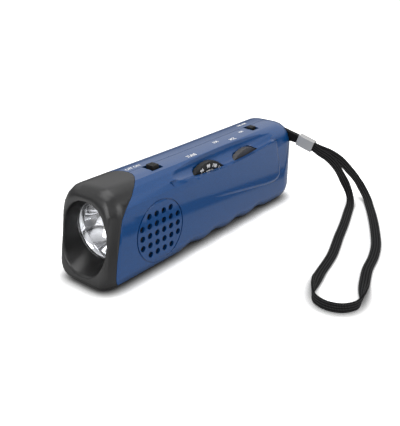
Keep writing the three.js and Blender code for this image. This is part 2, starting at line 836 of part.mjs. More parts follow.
function strapBox() {
  const half = strapNotchWidth / 2 + wall;
  const reach = strapNotchHeight / 2 + wall;
  const outer = -halfWidth + overrun;
  return block(
    strapPinX - half, strapPinX + half / 2, outer,
    strapNotchEnd + wall, strapPinZ - reach, strapPinZ + reach,
  );
}

const strapPinHalf = strapNotchWidth / 2 + wall / 2;
const strapPinY = -halfWidth + strapPinFromSide;
const strapPinHole = () => rodX(
  strapPinRadius + seatGap / 3,
  strapPinX - strapPinHalf - seatGap,
  strapPinX + strapPinHalf + seatGap,
  strapPinY,
  strapPinZ,
  smallSides,
);

function leftShell() {
  const hollow = cut(cavity, scoopSolid(wall));
  const outer = cut(join(blueBody, panelSolid()), scoopSolid(0));
  const posts = boardPostPlaces().map(
    ([x, z]) => rodY(postRadius, -innerHalf - wall / 2, boardY - seatGap, x, z, smallSides),
  );
  const hollowed = join(cut(outer, hollow), ...bosses(-1), ...posts, strapBox().intersect(blueBody));
  const screwHoles = screwPlaces.map(
    ([x, z]) => rodY(screwRadius + seatGap, -screwLength, overrun, x, z, smallSides),
  );
  const trimmed = cut(
    hollowed,
    speakerSeat(),
    ...grilleHoles(),
    grilleRing(),
    wheelSlot(tuningFromFront, tuningZ),
    wheelSlot(volumeFromFront, volumeZ),
    switchSlot(lightFromFront, lightSlotLength),
    switchSlot(bandFromFront, bandSlotLength),
    ...screwHoles,
    strapNotch(),
    strapPinHole(),
  );
  return trimmed.intersect(halfSpace(-1));
}

const screwHeadY = halfWidth - screwHeadDepth;

function rightShell() {
  const hollowed = join(cut(blueBody, cavity), ...bosses(1));
  const bores = screwPlaces.flatMap(([x, z]) => [
    rodY(screwRadius + seatGap, -overrun, halfWidth + overrun, x, z, smallSides),
    rodY(screwHeadRadius + seatGap, screwHeadY, halfWidth + overrun, x, z, smallSides),
  ]);
  const crankBore = rodY(bushRadius + seatGap, plateOuterY, halfWidth + overrun, crankX, crankZ);
  return cut(hollowed, ...bores, crankBore).intersect(halfSpace(1));
}

function housingScrew([x, z]) {
  const head = rodY(
    screwHeadRadius, screwHeadY + seatGap, screwHeadY + seatGap + screwHeadHeight, x, z, smallSides,
  );
  const shank = rodY(screwRadius, screwHeadY + seatGap - screwLength, screwHeadY + seatGap, x, z, smallSides);
  const slot = block(
    x - screwHeadRadius,
    x + screwHeadRadius,
    screwHeadY + screwHeadHeight - seatGap,
    halfWidth,
    z - screwRadius / 3,
    z + screwRadius / 3,
  );
  return cut(join(head, shank), slot);
}

// Thumbwheels: a knurled disc on a hub, held by a small screw
function knurledShape(radius, count, depth, boreRadius) {
  const points = [];
  for (let k = 0; k < 2 * count; k += 1) {
    const angle = (k / count) * Math.PI;
    const reach = radius - (k % 2) * depth;
    points.push(new THREE.Vector2(reach * Math.cos(angle), reach * Math.sin(angle)));
  }
  const shape = new THREE.Shape(points);
  const bore = new THREE.Path();
  bore.absarc(0, 0, boreRadius, 0, 2 * Math.PI, true);
  shape.holes.push(bore);
  return shape;
}

function thumbWheel(fromFront, axisZ) {
  const x = frontX + fromFront;
  const disc = plateY(
    knurledShape(wheelRadius, wheelKnurls, wheelKnurlDepth, wheelBoreRadius),
    wheelY,
    wheelY + wheelThickness,
    x,
    axisZ,
  );
  const hubEnd = wheelY + wheelThickness + wheelHubLength;
  const hub = cut(
    rodY(wheelHubRadius, wheelY + wheelThickness / 2, hubEnd, x, axisZ),
    rodY(wheelBoreRadius, wheelY - overrun, hubEnd + overrun, x, axisZ, smallSides),
  );
  const recess = rodY(
    wheelScrewHeadRadius + seatGap, wheelY - overrun, wheelY + wheelScrewHeadHeight, x, axisZ,
  );
  return cut(join(disc, hub), recess);
}

function wheelScrew(fromFront, axisZ) {
  const x = frontX + fromFront;
  const end = wheelY + wheelThickness + wheelHubLength;
  const head = rodY(
    wheelScrewHeadRadius, wheelY, wheelY + wheelScrewHeadHeight - seatGap, x, axisZ, smallSides,
  );
  return join(head, rodY(wheelScrewRadius, wheelY, end, x, axisZ, smallSides));
}

// Slide switches: a ridged knob on a skirt under the roof, over a switch body
const sliderTop = bodyHeight + knobProud;
const skirtTop = bodyHeight - wall - seatGap;

function slider(fromFront, knobLength, knobWidth, skirtLength, skirtWidth) {
  const x = frontX + fromFront;
  const y = -switchSlotWidth / 2;
  const knob = block(
    x - knobLength / 2, x + knobLength / 2, y - knobWidth / 2,
    y + knobWidth / 2, skirtTop - sliderSkirt, sliderTop,
  );
  const skirt = block(
    x - skirtLength / 2,
    x + skirtLength / 2,
    y - skirtWidth / 2,
    y + skirtWidth / 2,
    skirtTop - sliderSkirt,
    skirtTop,
  );
  return { whole: join(knob, skirt), x, y };
}

function ridges(base, x, y, along, length, width) {
  const pitch = length / (sliderRidges + 1);
  const half = sliderRidgeDepth / 2;
  const cuts = [];
  for (let k = 1; k <= sliderRidges; k += 1) {
    const at = -length / 2 + k * pitch;
    const low = sliderTop - sliderRidgeDepth;
    cuts.push(along === "x"
      ? block(x + at - half, x + at + half, y - width, y + width, low, sliderTop + overrun)
      : block(x - width, x + width, y + at - half, y + at + half, low, sliderTop + overrun));
  }
  return cut(base, ...cuts);
}

const lightTravel = (lightSlotLength - lightKnobLength) / 2 - seatGap;

function lightSlider() {
  const lap = lightSlotLength + 2 * sliderLap;
  const { whole, x, y } = slider(lightFromFront, lightKnobLength, lightKnobWidth, lap, lightKnobWidth);
  return ridges(whole, x, y, "x", lightKnobLength, lightKnobWidth);
}

function bandSlider() {
  const { whole, x, y } = slider(
    bandFromFront, bandKnobLength, bandKnobWidth, bandSlotLength + sliderLap, bandKnobWidth,
  );
  return ridges(whole, x, y, "y", bandKnobWidth, bandKnobLength);
}

function switchBody(fromFront, length) {
  const x = frontX + fromFront;
  const y = -switchSlotWidth / 2;
  const high = skirtTop - sliderSkirt - seatGap;
  const half = length / 2 + sliderLap;
  const flatTop = halfWidth - topRadius;
  const width = Math.min(switchSlotWidth / 2 - seatGap, switchReachShare * flatTop - switchSlotWidth / 2);
  const can = block(x - half, x + half, y - width, y + width, high - switchBodyDepth, high);
  const lugHigh = skirtTop;
  const lugX = half + lightTravel + seatGap;
  const base = block(x - lugX - wall, x + lugX + wall, y - width, y + width, high - switchRimThickness, high);
  const lugs = [-1, 1].map((side) => block(
    x + side * (lugX + wall / 2) - wall / 2,
    x + side * (lugX + wall / 2) + wall / 2,
    y - width,
    y + width,
    high - switchRimThickness,
    lugHigh,
  ));
  return join(can, base, ...lugs);
}

// Circuit board, tuning capacitor, volume control and aerial
const boardX = frontX + boardFromFront;
const mainBoard = () => block(
  boardX, boardX + boardLength, boardY, boardY + boardThickness, boardFootZ, boardTopZ,
);
const controlY = wheelY + wheelThickness + wheelHubLength + seatGap;

function tuningCapacitor() {
  const x = frontX + tuningFromFront;
  const half = capacitorSide / 2;
  const can = block(x - half, x + half, controlY, boardY - seatGap, tuningZ - half, tuningZ + half - wall);
  return can;
}

function volumeControl() {
  const x = frontX + volumeFromFront;
  return rodY(potRadius, controlY, boardY - seatGap, x, volumeZ);
}

const ferriteY = boardY - seatGap - coilRadius;
const ferriteX = frontX + ferriteFromFront;
const ferriteRod = () => rodX(
  ferriteRadius, ferriteX, ferriteX + ferriteLength, ferriteY, ferriteZ, smallSides,
);

function aerialCoil() {
  const x = ferriteX + (ferriteLength - coilLength) / 2;
  const profile = [
    [ferriteRadius + seatGap, 0],
    [coilRadius, 0],
    [coilRadius, coilLength],
    [ferriteRadius + seatGap, coilLength],
    [ferriteRadius + seatGap, 0],
  ];
  return turnedAlongX(profile, x, ferriteY, ferriteZ, smallSides);
}

// Gears
function gearShape(teeth, boreRadius, turn) {
  const pitchRadius = (gearModule * teeth) / 2;
  const outer = pitchRadius + toothAddendumShare * gearModule;
  const root = pitchRadius - toothDedendumShare * gearModule;
  const step = (2 * Math.PI) / teeth;
  const points = [];
  for (let k = 0; k < teeth; k += 1) {
    const middle = turn + k * step;
    const rise = [[root, -toothRootShare], [outer, -toothTipShare]];
    const corners = [...rise, [outer, toothTipShare], [root, toothRootShare]];
    corners.forEach(([reach, share]) => {
      const angle = middle + share * step;
      points.push(new THREE.Vector2(reach * Math.cos(angle), reach * Math.sin(angle)));
    });
  }
  const shape = new THREE.Shape(points);
  const bore = new THREE.Path();
  bore.absarc(0, 0, boreRadius, 0, 2 * Math.PI, true);
  shape.holes.push(bore);
  return shape;
}

// A tooth of each driving gear points forward to a gap of the gear that it drives
const gapForward = (teeth) => Math.PI / teeth;
const toothBackTurn = Math.PI;

function driveGear() {
  const shape = gearShape(driveTeeth, axleRadius + seatGap, toothBackTurn);
  const web = plateY(shape, driveY, driveY + gearFace, crankX, crankZ);
  const hub = cut(
    rodY(2 * axleRadius + seatGap, driveY, driveY + gearFace + gearLayerGap, crankX, crankZ),
    rodY(axleRadius + seatGap, driveY - overrun, driveY + overrun + gearFace, crankX, crankZ, smallSides),
  );
  return join(web, hub);
}

function idlerGear() {
  const bore = fineAxleRadius + seatGap;
  const pinion = gearShape(idlerPinionTeeth, bore, gapForward(idlerPinionTeeth));
  const wheel = gearShape(idlerTeeth, bore, toothBackTurn);
  return join(
    plateY(pinion, driveY, idlerY + gearFace / 2, idlerX, crankZ),
    plateY(wheel, idlerY, idlerY + gearFace, idlerX, crankZ),
  );
}

function rotorPinion() {
  const shape = gearShape(rotorTeeth, fineAxleRadius + seatGap, gapForward(rotorTeeth));
  return plateY(shape, idlerY, idlerY + gearFace, rotorX, crankZ);
}

const magnetY0 = plateInnerY + plateThickness + seatGap;
const rotorMagnet = () => cut(
  rodY(rotorMagnetRadius, magnetY0, idlerY - seatGap, rotorX, crankZ),
  rodY(fineAxleRadius + seatGap, magnetY0 - overrun, idlerY + overrun, rotorX, crankZ, smallSides),
);

function statorRing() {
  const inner = rotorMagnetRadius + rotorAirGap;
  const height = idlerY - 2 * seatGap - magnetY0;
  const profile = [[inner, 0], [statorRadius, 0], [statorRadius, height], [inner, height], [inner, 0]];
  return turnedAlongY(profile, rotorX, magnetY0, crankZ);
}

// Two plates with the gears between them
function gearboxOutline() {
  const left = rotorX - statorRadius - gearboxMargin / 2;
  const right = crankX + (gearModule * driveTeeth) / 2 + gearboxMargin;
  const reach = (gearModule * driveTeeth) / 2 + gearboxMargin / 2;
  return { left, right, low: crankZ - reach, high: crankZ + reach };
}

function axleBores(y0, y1) {
  return [
    rodY(axleRadius + seatGap, y0, y1, crankX, crankZ, smallSides),
    rodY(fineAxleRadius + seatGap, y0, y1, idlerX, crankZ, smallSides),
    rodY(fineAxleRadius + seatGap, y0, y1, rotorX, crankZ, smallSides),
  ];
}

function gearboxFrame() {
  const { left, right, low, high } = gearboxOutline();
  const plate = block(left, right, plateInnerY, plateInnerY + plateThickness, low, high);
  const inset = spacerRadius + seatGap;
  const places = [left + inset, right - inset].flatMap((x) => [[x, low + inset], [x, high - inset]]);
  const spacers = places.map(
    ([x, z]) => rodY(spacerRadius, plateInnerY, plateOuterY - seatGap, x, z, smallSides),
  );
  return cut(join(plate, ...spacers), ...axleBores(plateInnerY - overrun, driveY));
}

function gearboxCover() {
  const { left, right, low, high } = gearboxOutline();
  const plate = block(left, right, plateOuterY, plateOuterY + plateThickness, low, high);
  const bushBore = rodY(bushRadius + seatGap, plateOuterY - overrun, halfWidth, crankX, crankZ);
  return cut(plate, ...axleBores(plateOuterY - overrun, halfWidth), bushBore);
}

const fineAxle = (x) => rodY(
  fineAxleRadius, plateInnerY, plateOuterY + plateThickness, x, crankZ, smallSides,
);

// Battery pack of three cells in a tray on the wall of the far shell
const batteryX = frontX + batteryFromFront;
const cellY = innerHalf - 2 * seatGap - trayThickness - cellRadius;
const cellZ = (index) => batteryFootZ + cellRadius + index * cellPitch;
const batteryCell = (index) => join(
  rodX(cellRadius, batteryX, batteryX + cellLength, cellY, cellZ(index)),
  rodX(cellRadius / 2, batteryX + cellLength / 2, batteryX + cellLength + seatGap, cellY, cellZ(index)),
);

function batteryTray() {
  const y1 = innerHalf - seatGap;
  const y0 = y1 - trayThickness;
  const low = batteryFootZ - seatGap;
  const high = cellZ(cells - 1) + cellRadius + seatGap;
  const x0 = batteryX - seatGap - trayThickness;
  const x1 = batteryX + cellLength + 2 * seatGap;
  const back = block(x0, x1 + trayThickness, y0, y1, low, high);
  const ends = [x0, x1].map((x) => block(x, x + trayThickness, cellY - cellRadius / 2, y1, low, high));
  return join(back, ...ends);
}

// Crank: bush in the housing, axle, arm with an open fork for the fold-out knob
function crankBush() {
  const y0 = plateOuterY;
  const profile = [
    [axleRadius + seatGap, 0],
    [bushRadius, 0],
    [bushRadius, halfWidth - y0 + seatGap],
    [bushRadius + wall, halfWidth - y0 + seatGap],
    [bushRadius + wall, halfWidth - y0 + bushCollar - seatGap],
    [axleRadius + seatGap, halfWidth - y0 + bushCollar - seatGap],
    [axleRadius + seatGap, 0],
  ];
  return turnedAlongY(profile, crankX, y0, crankZ);
}

const crankAxle = () => rodY(
  axleRadius, plateInnerY + seatGap, armY + armThickness / 2, crankX, crankZ, smallSides,
);

function armShape() {
  const shape = new THREE.Shape();
  shape.absarc(crankX, crankZ, armHalfWidth, -Math.PI / 2, Math.PI / 2, false);
  shape.absarc(tipX, crankZ, armHalfWidth, Math.PI / 2, (3 * Math.PI) / 2, false);
  return shape;
}

const knobSlotEnd = hingeX + knobEyeRadius + gripLength + 4 * seatGap;

function crankArm() {
  const slotHalf = gripRadius + knobSlotGap;
  const slot = block(
    tipX - armHalfWidth - overrun,
    knobSlotEnd + knobSlotGap,
    armY - overrun,
    armY + armThickness + overrun,
    crankZ - slotHalf,
    crankZ + slotHalf,
  );
  const ears = [-1, 1].map((side) => {
    const inside = crankZ + side * slotHalf;
    const outside = crankZ + side * (armHalfWidth - seatGap);
    return rodZ(
      knobEyeRadius, Math.min(inside, outside), Math.max(inside, outside), hingeX, hingeY, smallSides,
    );
  });
  const pinBore = rodZ(
    knobPinRadius + seatGap, crankZ - armHalfWidth, crankZ + armHalfWidth, hingeX, hingeY, smallSides,
  );
  const axleBore = rodY(
    axleRadius + seatGap, armY - overrun, armY + armThickness / 2 + seatGap, crankX, crankZ, smallSides,
  );
  const screwBore = rodY(
    hubScrewHeadRadius + seatGap, armY + armThickness - hubScrewHeadHeight,
    armY + armThickness + overrun, crankX, crankZ,
  );
  const hub = rodY(bushRadius + wall, halfWidth + bushCollar, armY + wall / 2, crankX, crankZ);
  return cut(
    join(cut(plateY(armShape(), armY, armY + armThickness), slot), hub, ...ears),
    pinBore, axleBore, screwBore,
  );
}

const hubScrew = () => rodY(
  hubScrewHeadRadius,
  armY + armThickness - hubScrewHeadHeight + seatGap,
  armY + armThickness + seatGap,
  crankX,
  crankZ,
);

const knobPin = () => rodZ(
  knobPinRadius,
  crankZ - armHalfWidth + 2 * seatGap,
  crankZ + armHalfWidth - 2 * seatGap,
  hingeX,
  hingeY,
  smallSides,
);

// The knob's post turns on the pin, and the grip turns on the post
function knobPost() {
  const half = gripRadius - seatGap;
  const eye = rodZ(knobEyeRadius, crankZ - half, crankZ + half, hingeX, hingeY);
  const post = rodX(
    knobPostRadius, hingeX, hingeX + knobEyeRadius + gripLength - gripRadius / 2, hingeY, crankZ, smallSides,
  );
  const bore = rodZ(
    knobPinRadius + seatGap, crankZ - overrun - half, crankZ + overrun + half, hingeX, hingeY, smallSides,
  );
  return cut(join(eye, post), bore);
}

function knobGrip() {
  const end = gripLength - seatGap;
  const round = gripRadius / 3;
  const profile = [
    [knobPostRadius + seatGap, 0],
    [gripRadius - round, 0],
    [gripRadius, round],
    [gripRadius - gripGroove, end / 2],
    [gripRadius, end - 2 * round],
    [gripRadius - round / 2, end - round / 2],
    [gripRadius - 2 * round, end],
    [0, end],
    [0, end - gripRadius / 2 + seatGap],
    [knobPostRadius + seatGap, end - gripRadius / 2 + seatGap],
    [knobPostRadius + seatGap, 0],
  ];
  return turnedAlongX(profile, hingeX + knobEyeRadius + seatGap, hingeY, crankZ);
}

// Wrist strap
const strapPin = () => rodX(
  strapPinRadius,
  strapPinX - strapPinHalf,
  strapPinX + strapPinHalf,
  strapPinY,
  strapPinZ,
  smallSides,
);

// The black loop stands upright round the pin, narrows and falls towards the crimp and ends in it
function strapLoop() {
  const shape = new THREE.Shape();
  shape.absarc(0, 0, strapLoopHalf, -Math.PI / 2, Math.PI / 2, false);
  shape.absarc(-strapLoopLength, -strapLoopFall, strapLoopNeck, Math.PI / 2, (3 * Math.PI) / 2, false);
  const eye = new THREE.Path();
  eye.absarc(0, 0, strapLoopEye, 0, 2 * Math.PI, true);
  shape.holes.push(eye);
  const geometry = new THREE.ExtrudeGeometry(shape, {
    depth: strapLoopThickness,
    bevelEnabled: false,
    curveSegments: smallSides / 2,
  });
  geometry.translate(0, 0, -strapLoopThickness / 2);
  geometry.applyMatrix4(new THREE.Matrix4().makeBasis(
    new THREE.Vector3(0, 1, 0),
    new THREE.Vector3(0, 0, 1),
    new THREE.Vector3(1, 0, 0),
  ));
  return solid(geometry.translate(strapPinX, strapPinY, strapPinZ));
}

const crimpStart = new THREE.Vector3(
  strapPinX,
  strapPinY - strapLoopLength,
  strapPinZ - strapLoopFall,
);
const crimpWay = new THREE.Vector3(crimpTurnShare, -1, -crimpFallShare).normalize();
const crimpEnd = crimpStart.clone().addScaledVector(crimpWay, crimpLength);
const crimpSide = new THREE.Vector3().crossVectors(crimpWay, new THREE.Vector3(0, 0, 1)).normalize();
const crimpUp = new THREE.Vector3().crossVectors(crimpSide, crimpWay);

// A sleeve of crimped sheet, open at both ends
function strapCrimp() {
  const half = crimpLength / 2;
  const middle = crimpStart.clone().lerp(crimpEnd, 1 / 2);
  const place = new THREE.Matrix4().makeBasis(crimpWay, crimpSide.clone().negate(), crimpUp).setPosition(
    middle,
  );
  const outer = new THREE.BoxGeometry(crimpLength, crimpThickness, crimpWidth);
  const inner = new THREE.BoxGeometry(
    crimpLength + half,
    crimpThickness - 2 * crimpWall,
    crimpWidth - 2 * crimpWall,
  );
  return cut(solid(outer.applyMatrix4(place)), solid(inner.applyMatrix4(place)));
}

// The band leaves the crimp upright, turns to lie flat on the surface and turns back at its other end
const eased = (share) => share * share * (3 - 2 * share);

function strapBand() {
  const strand = (share, side) => crimpStart.clone().lerp(crimpEnd, share).addScaledVector(
    crimpSide, side * strandOffset,
  );
  const inside = (strapLoopNeck + 2 * seatGap) / crimpLength;
  const out = [strand(inside, -1), strand(1, -1)];
  const back = [strand(1, 1), strand(inside, 1)];
  const free = strapRoute.map(([x, y, z]) => new THREE.Vector3(x, y, z));
  const route = new THREE.CatmullRomCurve3([...out, ...free, ...back], false, "centripetal");
  const up = new THREE.Vector3(0, 0, 1);
  route.computeFrenetFrames = (steps) => {
    const frames = { tangents: [], normals: [], binormals: [] };
    for (let k = 0; k <= steps; k += 1) {
      const share = k / steps;
      const tangent = route.getTangentAt(share);
      const ends = clamp01(
        (strapFlatShare - Math.min(share, 1 - share)) / (strapFlatShare - strapUprightShare),
      );
      const fromEnd = Math.abs(share - strapEndShare) - strapEndHoldShare;
      const loopEnd = eased(clamp01(1 - fromEnd / strapEndTurnShare));
      const turn = ((share < 1 / 2 ? eased(ends) : -eased(ends)) + loopEnd) * (Math.PI / 2);
      const across = new THREE.Vector3().crossVectors(up, tangent).normalize();
      across.applyAxisAngle(tangent, turn);
      frames.tangents.push(tangent);
      frames.normals.push(across);
      frames.binormals.push(new THREE.Vector3().crossVectors(tangent, across));
    }
    return frames;
  };
  const flat = strapThickness / 2;
  const wide = strapWidth / 2;
  const shape = new THREE.Shape();
  shape.absellipse(0, 0, wide, flat, 0, 2 * Math.PI, false);
  return solid(new THREE.ExtrudeGeometry(
    new THREE.Shape(shape.getPoints(smallSides / 3).slice(0, -1)),
    { steps: strapSteps, extrudePath: route, bevelEnabled: false },
  ));
}

// The assembly
const flashlight = new THREE.Group();
flashlight.position.set(0, -middleY, 0);

function add(name, body, material) {
  const mesh = new THREE.Mesh(geometryOf(body), material);
  mesh.name = name;
  flashlight.add(mesh);
}

add("left_shell", leftShell(), bluePaint);
add("right_shell", rightShell(), bluePaint);
add("lamp_head", headBezel(), blackPlastic);
add("lens", lens(), clearPlastic);
add("reflector", reflector(), chrome);
add("led_lamp", ledLamp(), whitePlastic);
add("lamp_board", lampBoard(), boardGreen);
add("lamp_holder", lampHolder(), greyPlastic);
add("speaker_cloth", speakerCloth(), paper);
add("speaker_frame", speakerFrame(), steel);
add("speaker_cone", speakerCone(), paper);
add("speaker_magnet", speakerMagnet(), steel);
screwPlaces.forEach((place, index) => add(`housing_screw_${index + 1}`, housingScrew(place), steel));
add("tuning_wheel", thumbWheel(tuningFromFront, tuningZ), blackPlastic);
add("tuning_wheel_screw", wheelScrew(tuningFromFront, tuningZ), steel);
add("volume_wheel", thumbWheel(volumeFromFront, volumeZ), greyPlastic);
add("volume_wheel_screw", wheelScrew(volumeFromFront, volumeZ), steel);
add("light_slider", lightSlider(), blackPlastic);
add("light_switch_body", switchBody(lightFromFront, lightSlotLength), greyPlastic);
add("band_slider", bandSlider(), blackPlastic);
add("band_switch_body", switchBody(bandFromFront, bandSlotLength), greyPlastic);
add("main_board", mainBoard(), boardGreen);
add("tuning_capacitor", tuningCapacitor(), whitePlastic);
add("volume_control", volumeControl(), greyPlastic);
add("ferrite_rod", ferriteRod(), ferrite);
add("aerial_coil", aerialCoil(), copper);
add("gearbox_frame", gearboxFrame(), whitePlastic);
add("gearbox_cover", gearboxCover(), whitePlastic);
add("drive_gear", driveGear(), whitePlastic);
add("idler_gear", idlerGear(), whitePlastic);
add("idler_axle", fineAxle(idlerX), steel);
add("rotor_pinion", rotorPinion(), brass);
add("rotor_magnet", rotorMagnet(), ferrite);
add("rotor_axle", fineAxle(rotorX), steel);
add("stator_coil", statorRing(), copper);
for (let index = 0; index < cells; index += 1) {
  add(`battery_cell_${index + 1}`, batteryCell(index), cellGreen);
}
add("battery_tray", batteryTray(), blackPlastic);
add("crank_bush", crankBush(), brass);
add("crank_axle", crankAxle(), steel);
add("crank_arm", crankArm(), blackPlastic);
add("crank_screw", hubScrew(), steel);
add("knob_pin", knobPin(), steel);
add("knob_post", knobPost(), steel);
add("knob_grip", knobGrip(), blackPlastic);
add("strap_pin", strapPin(), steel);
add("strap_loop", strapLoop(), nylon);
add("strap_crimp", strapCrimp(), steel);
add("strap_band", strapBand(), nylon);

export default flashlight;
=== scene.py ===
# Hand crank flashlight with a radio: finishes, wrist strap, dial numbers, labels, table and light.
import math

import bmesh
import bpy
from mathutils import Euler, Matrix, Vector


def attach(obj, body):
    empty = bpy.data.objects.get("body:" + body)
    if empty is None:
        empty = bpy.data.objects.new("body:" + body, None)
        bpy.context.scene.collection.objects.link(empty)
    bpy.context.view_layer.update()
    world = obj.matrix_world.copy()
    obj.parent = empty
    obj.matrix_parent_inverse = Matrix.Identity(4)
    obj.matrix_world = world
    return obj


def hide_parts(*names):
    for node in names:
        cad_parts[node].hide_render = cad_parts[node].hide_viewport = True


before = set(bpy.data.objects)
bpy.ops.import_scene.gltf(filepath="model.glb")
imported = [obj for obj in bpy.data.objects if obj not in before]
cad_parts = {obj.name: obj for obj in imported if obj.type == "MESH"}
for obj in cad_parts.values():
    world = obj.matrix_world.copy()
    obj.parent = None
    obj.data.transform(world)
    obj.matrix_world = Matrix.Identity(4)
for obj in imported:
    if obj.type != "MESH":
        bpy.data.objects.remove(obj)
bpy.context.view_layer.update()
scene = bpy.context.scene

# View: the flashlight seen from its lamp end and the side of the thumbwheels,
# from a little above, as a camera held over the table sees it.
eye_place = Vector((-0.2736, -0.2358, 0.1736))
eye_heading = 39.1
eye_downward = 24.4
eye = bpy.data.cameras.new("eye")
eye.sensor_width = 36
eye.lens = 50.7
eye_stand = bpy.data.objects.new("eye", eye)
scene.collection.objects.link(eye_stand)
eye_turn = Euler((math.radians(90 - eye_downward), 0, math.radians(eye_heading - 90)))
eye_stand.matrix_world = Matrix.Translation(eye_place) @ eye_turn.to_matrix().to_4x4()
scene.camera = eye_stand
scene.view_settings.view_transform = "Standard"

# Wrist strap: one flat band of woven black nylon, ribbed along its length. Both ends are caught in
# the crimp. It comes out of it on its edge, turns flat onto the table, and stands on its edge
# again round the far end of its loop.
MM = 0.001
seam_y = -5.5
crimp_length = 12.2
crimp_start = Vector((89.6, -25.5, 45.22))
crimp_way = Vector((0.14, -1, -0.34)).normalized()
crimp_side = crimp_way.cross(Vector((0, 0, 1))).normalized()
crimp_end = crimp_start + crimp_length * crimp_way
strand_inset = 3.3
strand_offset = 0.85
band_width = 6.0
band_thickness = 1.2
band_steps = 380
band_free = [
    (93.6, -41.6, 39.5), (98, -46.6, 36.6), (103.8, -52.2, 31.2), (112.8, -56.8, 21.4),
    (117.7, -59, 15.9), (120.3, -61.7, 10.7), (120.1, -65.7, 5.8), (117.2, -70.2, 2.3),
    (112.1, -73.9, 1), (91, -86.6, 1), (69.5, -98.2, 1), (52.9, -106.1, 1),
    (38, -111.1, 1), (21.5, -114.9, 1), (5.9, -120.4, 1.2), (-4.6, -124.5, 2.7),
    (-13.2, -127.8, 3.4), (-21.2, -128.1, 3.4), (-27.9, -123.6, 3.4), (-30.6, -116, 3.4),
    (-28.4, -108.3, 3.4), (-22, -103.4, 3.4), (-11, -99.3, 2.7), (2, -95.4, 1.1), (14, -93, 1),
    (25, -90.5, 1), (36, -87, 1), (50, -82.2, 1), (68.1, -76.5, 1), (88.5, -69.3, 1),
    (98.9, -65.5, 1), (104.4, -63.1, 2.3), (108.1, -60.1, 6), (109.1, -56.7, 11.2),
    (107.3, -54.2, 16.7), (100.6, -51, 27.6), (95.6, -47, 34.2), (91.6, -42, 38.4),
]


def in_crimp(share, side):
    """A point of the band's centre line inside the crimp, where its two ends lie side by side."""
    return crimp_start.lerp(crimp_end, share) + side * strand_offset * crimp_side


def band_line(points, per_span):
    """Points along a centripetal Catmull-Rom line through the given ones."""
    line = []
    ends = [2 * points[0] - points[1], *points, 2 * points[-1] - points[-2]]
    for before, start, end, after in zip(ends, ends[1:], ends[2:], ends[3:]):
        gaps = [(b - a).length ** 0.5 for a, b in ((before, start), (start, end), (end, after))]
        first, middle, last = gaps
        leave = (start - before) / first - (end - before) / (first + middle) + (end - start) / middle
        arrive = (end - start) / middle - (after - start) / (middle + last) + (after - end) / last
        leave *= middle
        arrive *= middle
        for step in range(per_span):
            t = step / per_span
            bend = (2 * start - 2 * end + leave + arrive) * t**3
            line.append(bend + (3 * end - 3 * start - 2 * leave - arrive) * t**2 + leave * t + start)
    return [*line, points[-1]]


def even_steps(line, count):
    """The same line with points at equal distances."""
    runs = [0.0]
    for a, b in zip(line, line[1:]):
        runs.append(runs[-1] + (b - a).length)
    even = []
    at = 0
    for k in range(count + 1):
        want = runs[-1] * k / count
        while at < len(runs) - 2 and runs[at + 1] < want:
            at += 1
        even.append(line[at].lerp(line[at + 1], (want - runs[at]) / (runs[at + 1] - runs[at])))
    return even


strand_start = strand_inset / crimp_length
band_points = [in_crimp(strand_start, -1), in_crimp(1, -1)]
band_points += [Vector(point) for point in band_free]
band_points += [in_crimp(1, 1), in_crimp(strand_start, 1)]
band_middle = even_steps(band_line(band_points, per_span=24), band_steps)
band_path = [(point + Vector((0, seam_y, 0))) * MM for point in band_middle]


def band_section(ribs, per_rib, rib_rise, edge_rise):
    """The outline across the band: round edges, and ribs side by side on both flat faces."""
    outline = []
    count = ribs * per_rib
    for face in (1, -1):
        for k in range(count):
            share = (k + 0.5) / count
            across = math.cos(math.pi * share) * face
            rib = rib_rise * abs(math.sin(math.pi * ribs * (across + 1) / 2))
            height = min(1, math.sin(math.pi * share) * edge_rise) * (1 - rib_rise + rib) * face
            outline.append((across * band_width / 2 * MM, height * band_thickness / 2 * MM))
    return outline


def eased(share):
    """A smooth step from 0 to 1."""
    share = min(1.0, max(0.0, share))
    return share * share * (3 - 2 * share)


def band_turn(share):
    """How far the band is turned up on its edge: at both ends and round the far end of the loop."""
    flat_share = 0.17
    turn_share = 0.07
    loop_end_share = 0.523
    loop_hold_share = 0.03
    near_end = eased((flat_share - min(share, 1 - share)) / turn_share)
    loop_end = eased(1 - (abs(share - loop_end_share) - loop_hold_share) / turn_share)
    return ((near_end if share < 0.5 else -near_end) + loop_end) * math.pi / 2


def pick(piece):
    """Selects this piece alone, for the operators that act on what is selected."""
    bpy.ops.object.select_all(action="DESELECT")
    piece.select_set(True)
    bpy.context.view_layer.objects.active = piece


def make_band(name, path, outline):
    """A tube of that section along the path, with a UV map in millimetres across and along."""
    row_length = 1.17
    count = len(outline)
    last = len(path) - 1
    corners = []
    for k, point in enumerate(path):
        tangent = (path[min(k + 1, last)] - path[max(k - 1, 0)]).normalized()
        across = Vector((0, 0, 1)).cross(tangent).normalized()
        across.rotate(Matrix.Rotation(band_turn(k / last), 3, tangent))
        rise = tangent.cross(across)
        corners += [point + across * u + rise * v for u, v in outline]
    faces = [tuple(reversed(range(count))), tuple(range(last * count, last * count + count))]
    for k in range(last):
        for j in range(count):
            here = k * count
            step = (j + 1) % count
            faces.append((here + j, here + step, here + count + step, here + count + j))
    mesh = bpy.data.meshes.new(name)
    mesh.from_pydata([tuple(c) for c in corners], [], faces)
    uv = mesh.uv_layers.new(name="along")
    for face in mesh.polygons:
        for loop in face.loop_indices:
            corner = mesh.loops[loop].vertex_index
            uv.data[loop].uv = (outline[corner % count][0] / MM, corner // count * row_length)
    piece = bpy.data.objects.new(name, mesh)
    scene.collection.objects.link(piece)
    pick(piece)
    bpy.ops.object.mode_set(mode="EDIT")
    bpy.ops.mesh.select_all(action="SELECT")
    bpy.ops.mesh.normals_make_consistent(inside=False)
    bpy.ops.object.mode_set(mode="OBJECT")
    bpy.ops.object.shade_smooth_by_angle(angle=math.radians(50))
    return piece


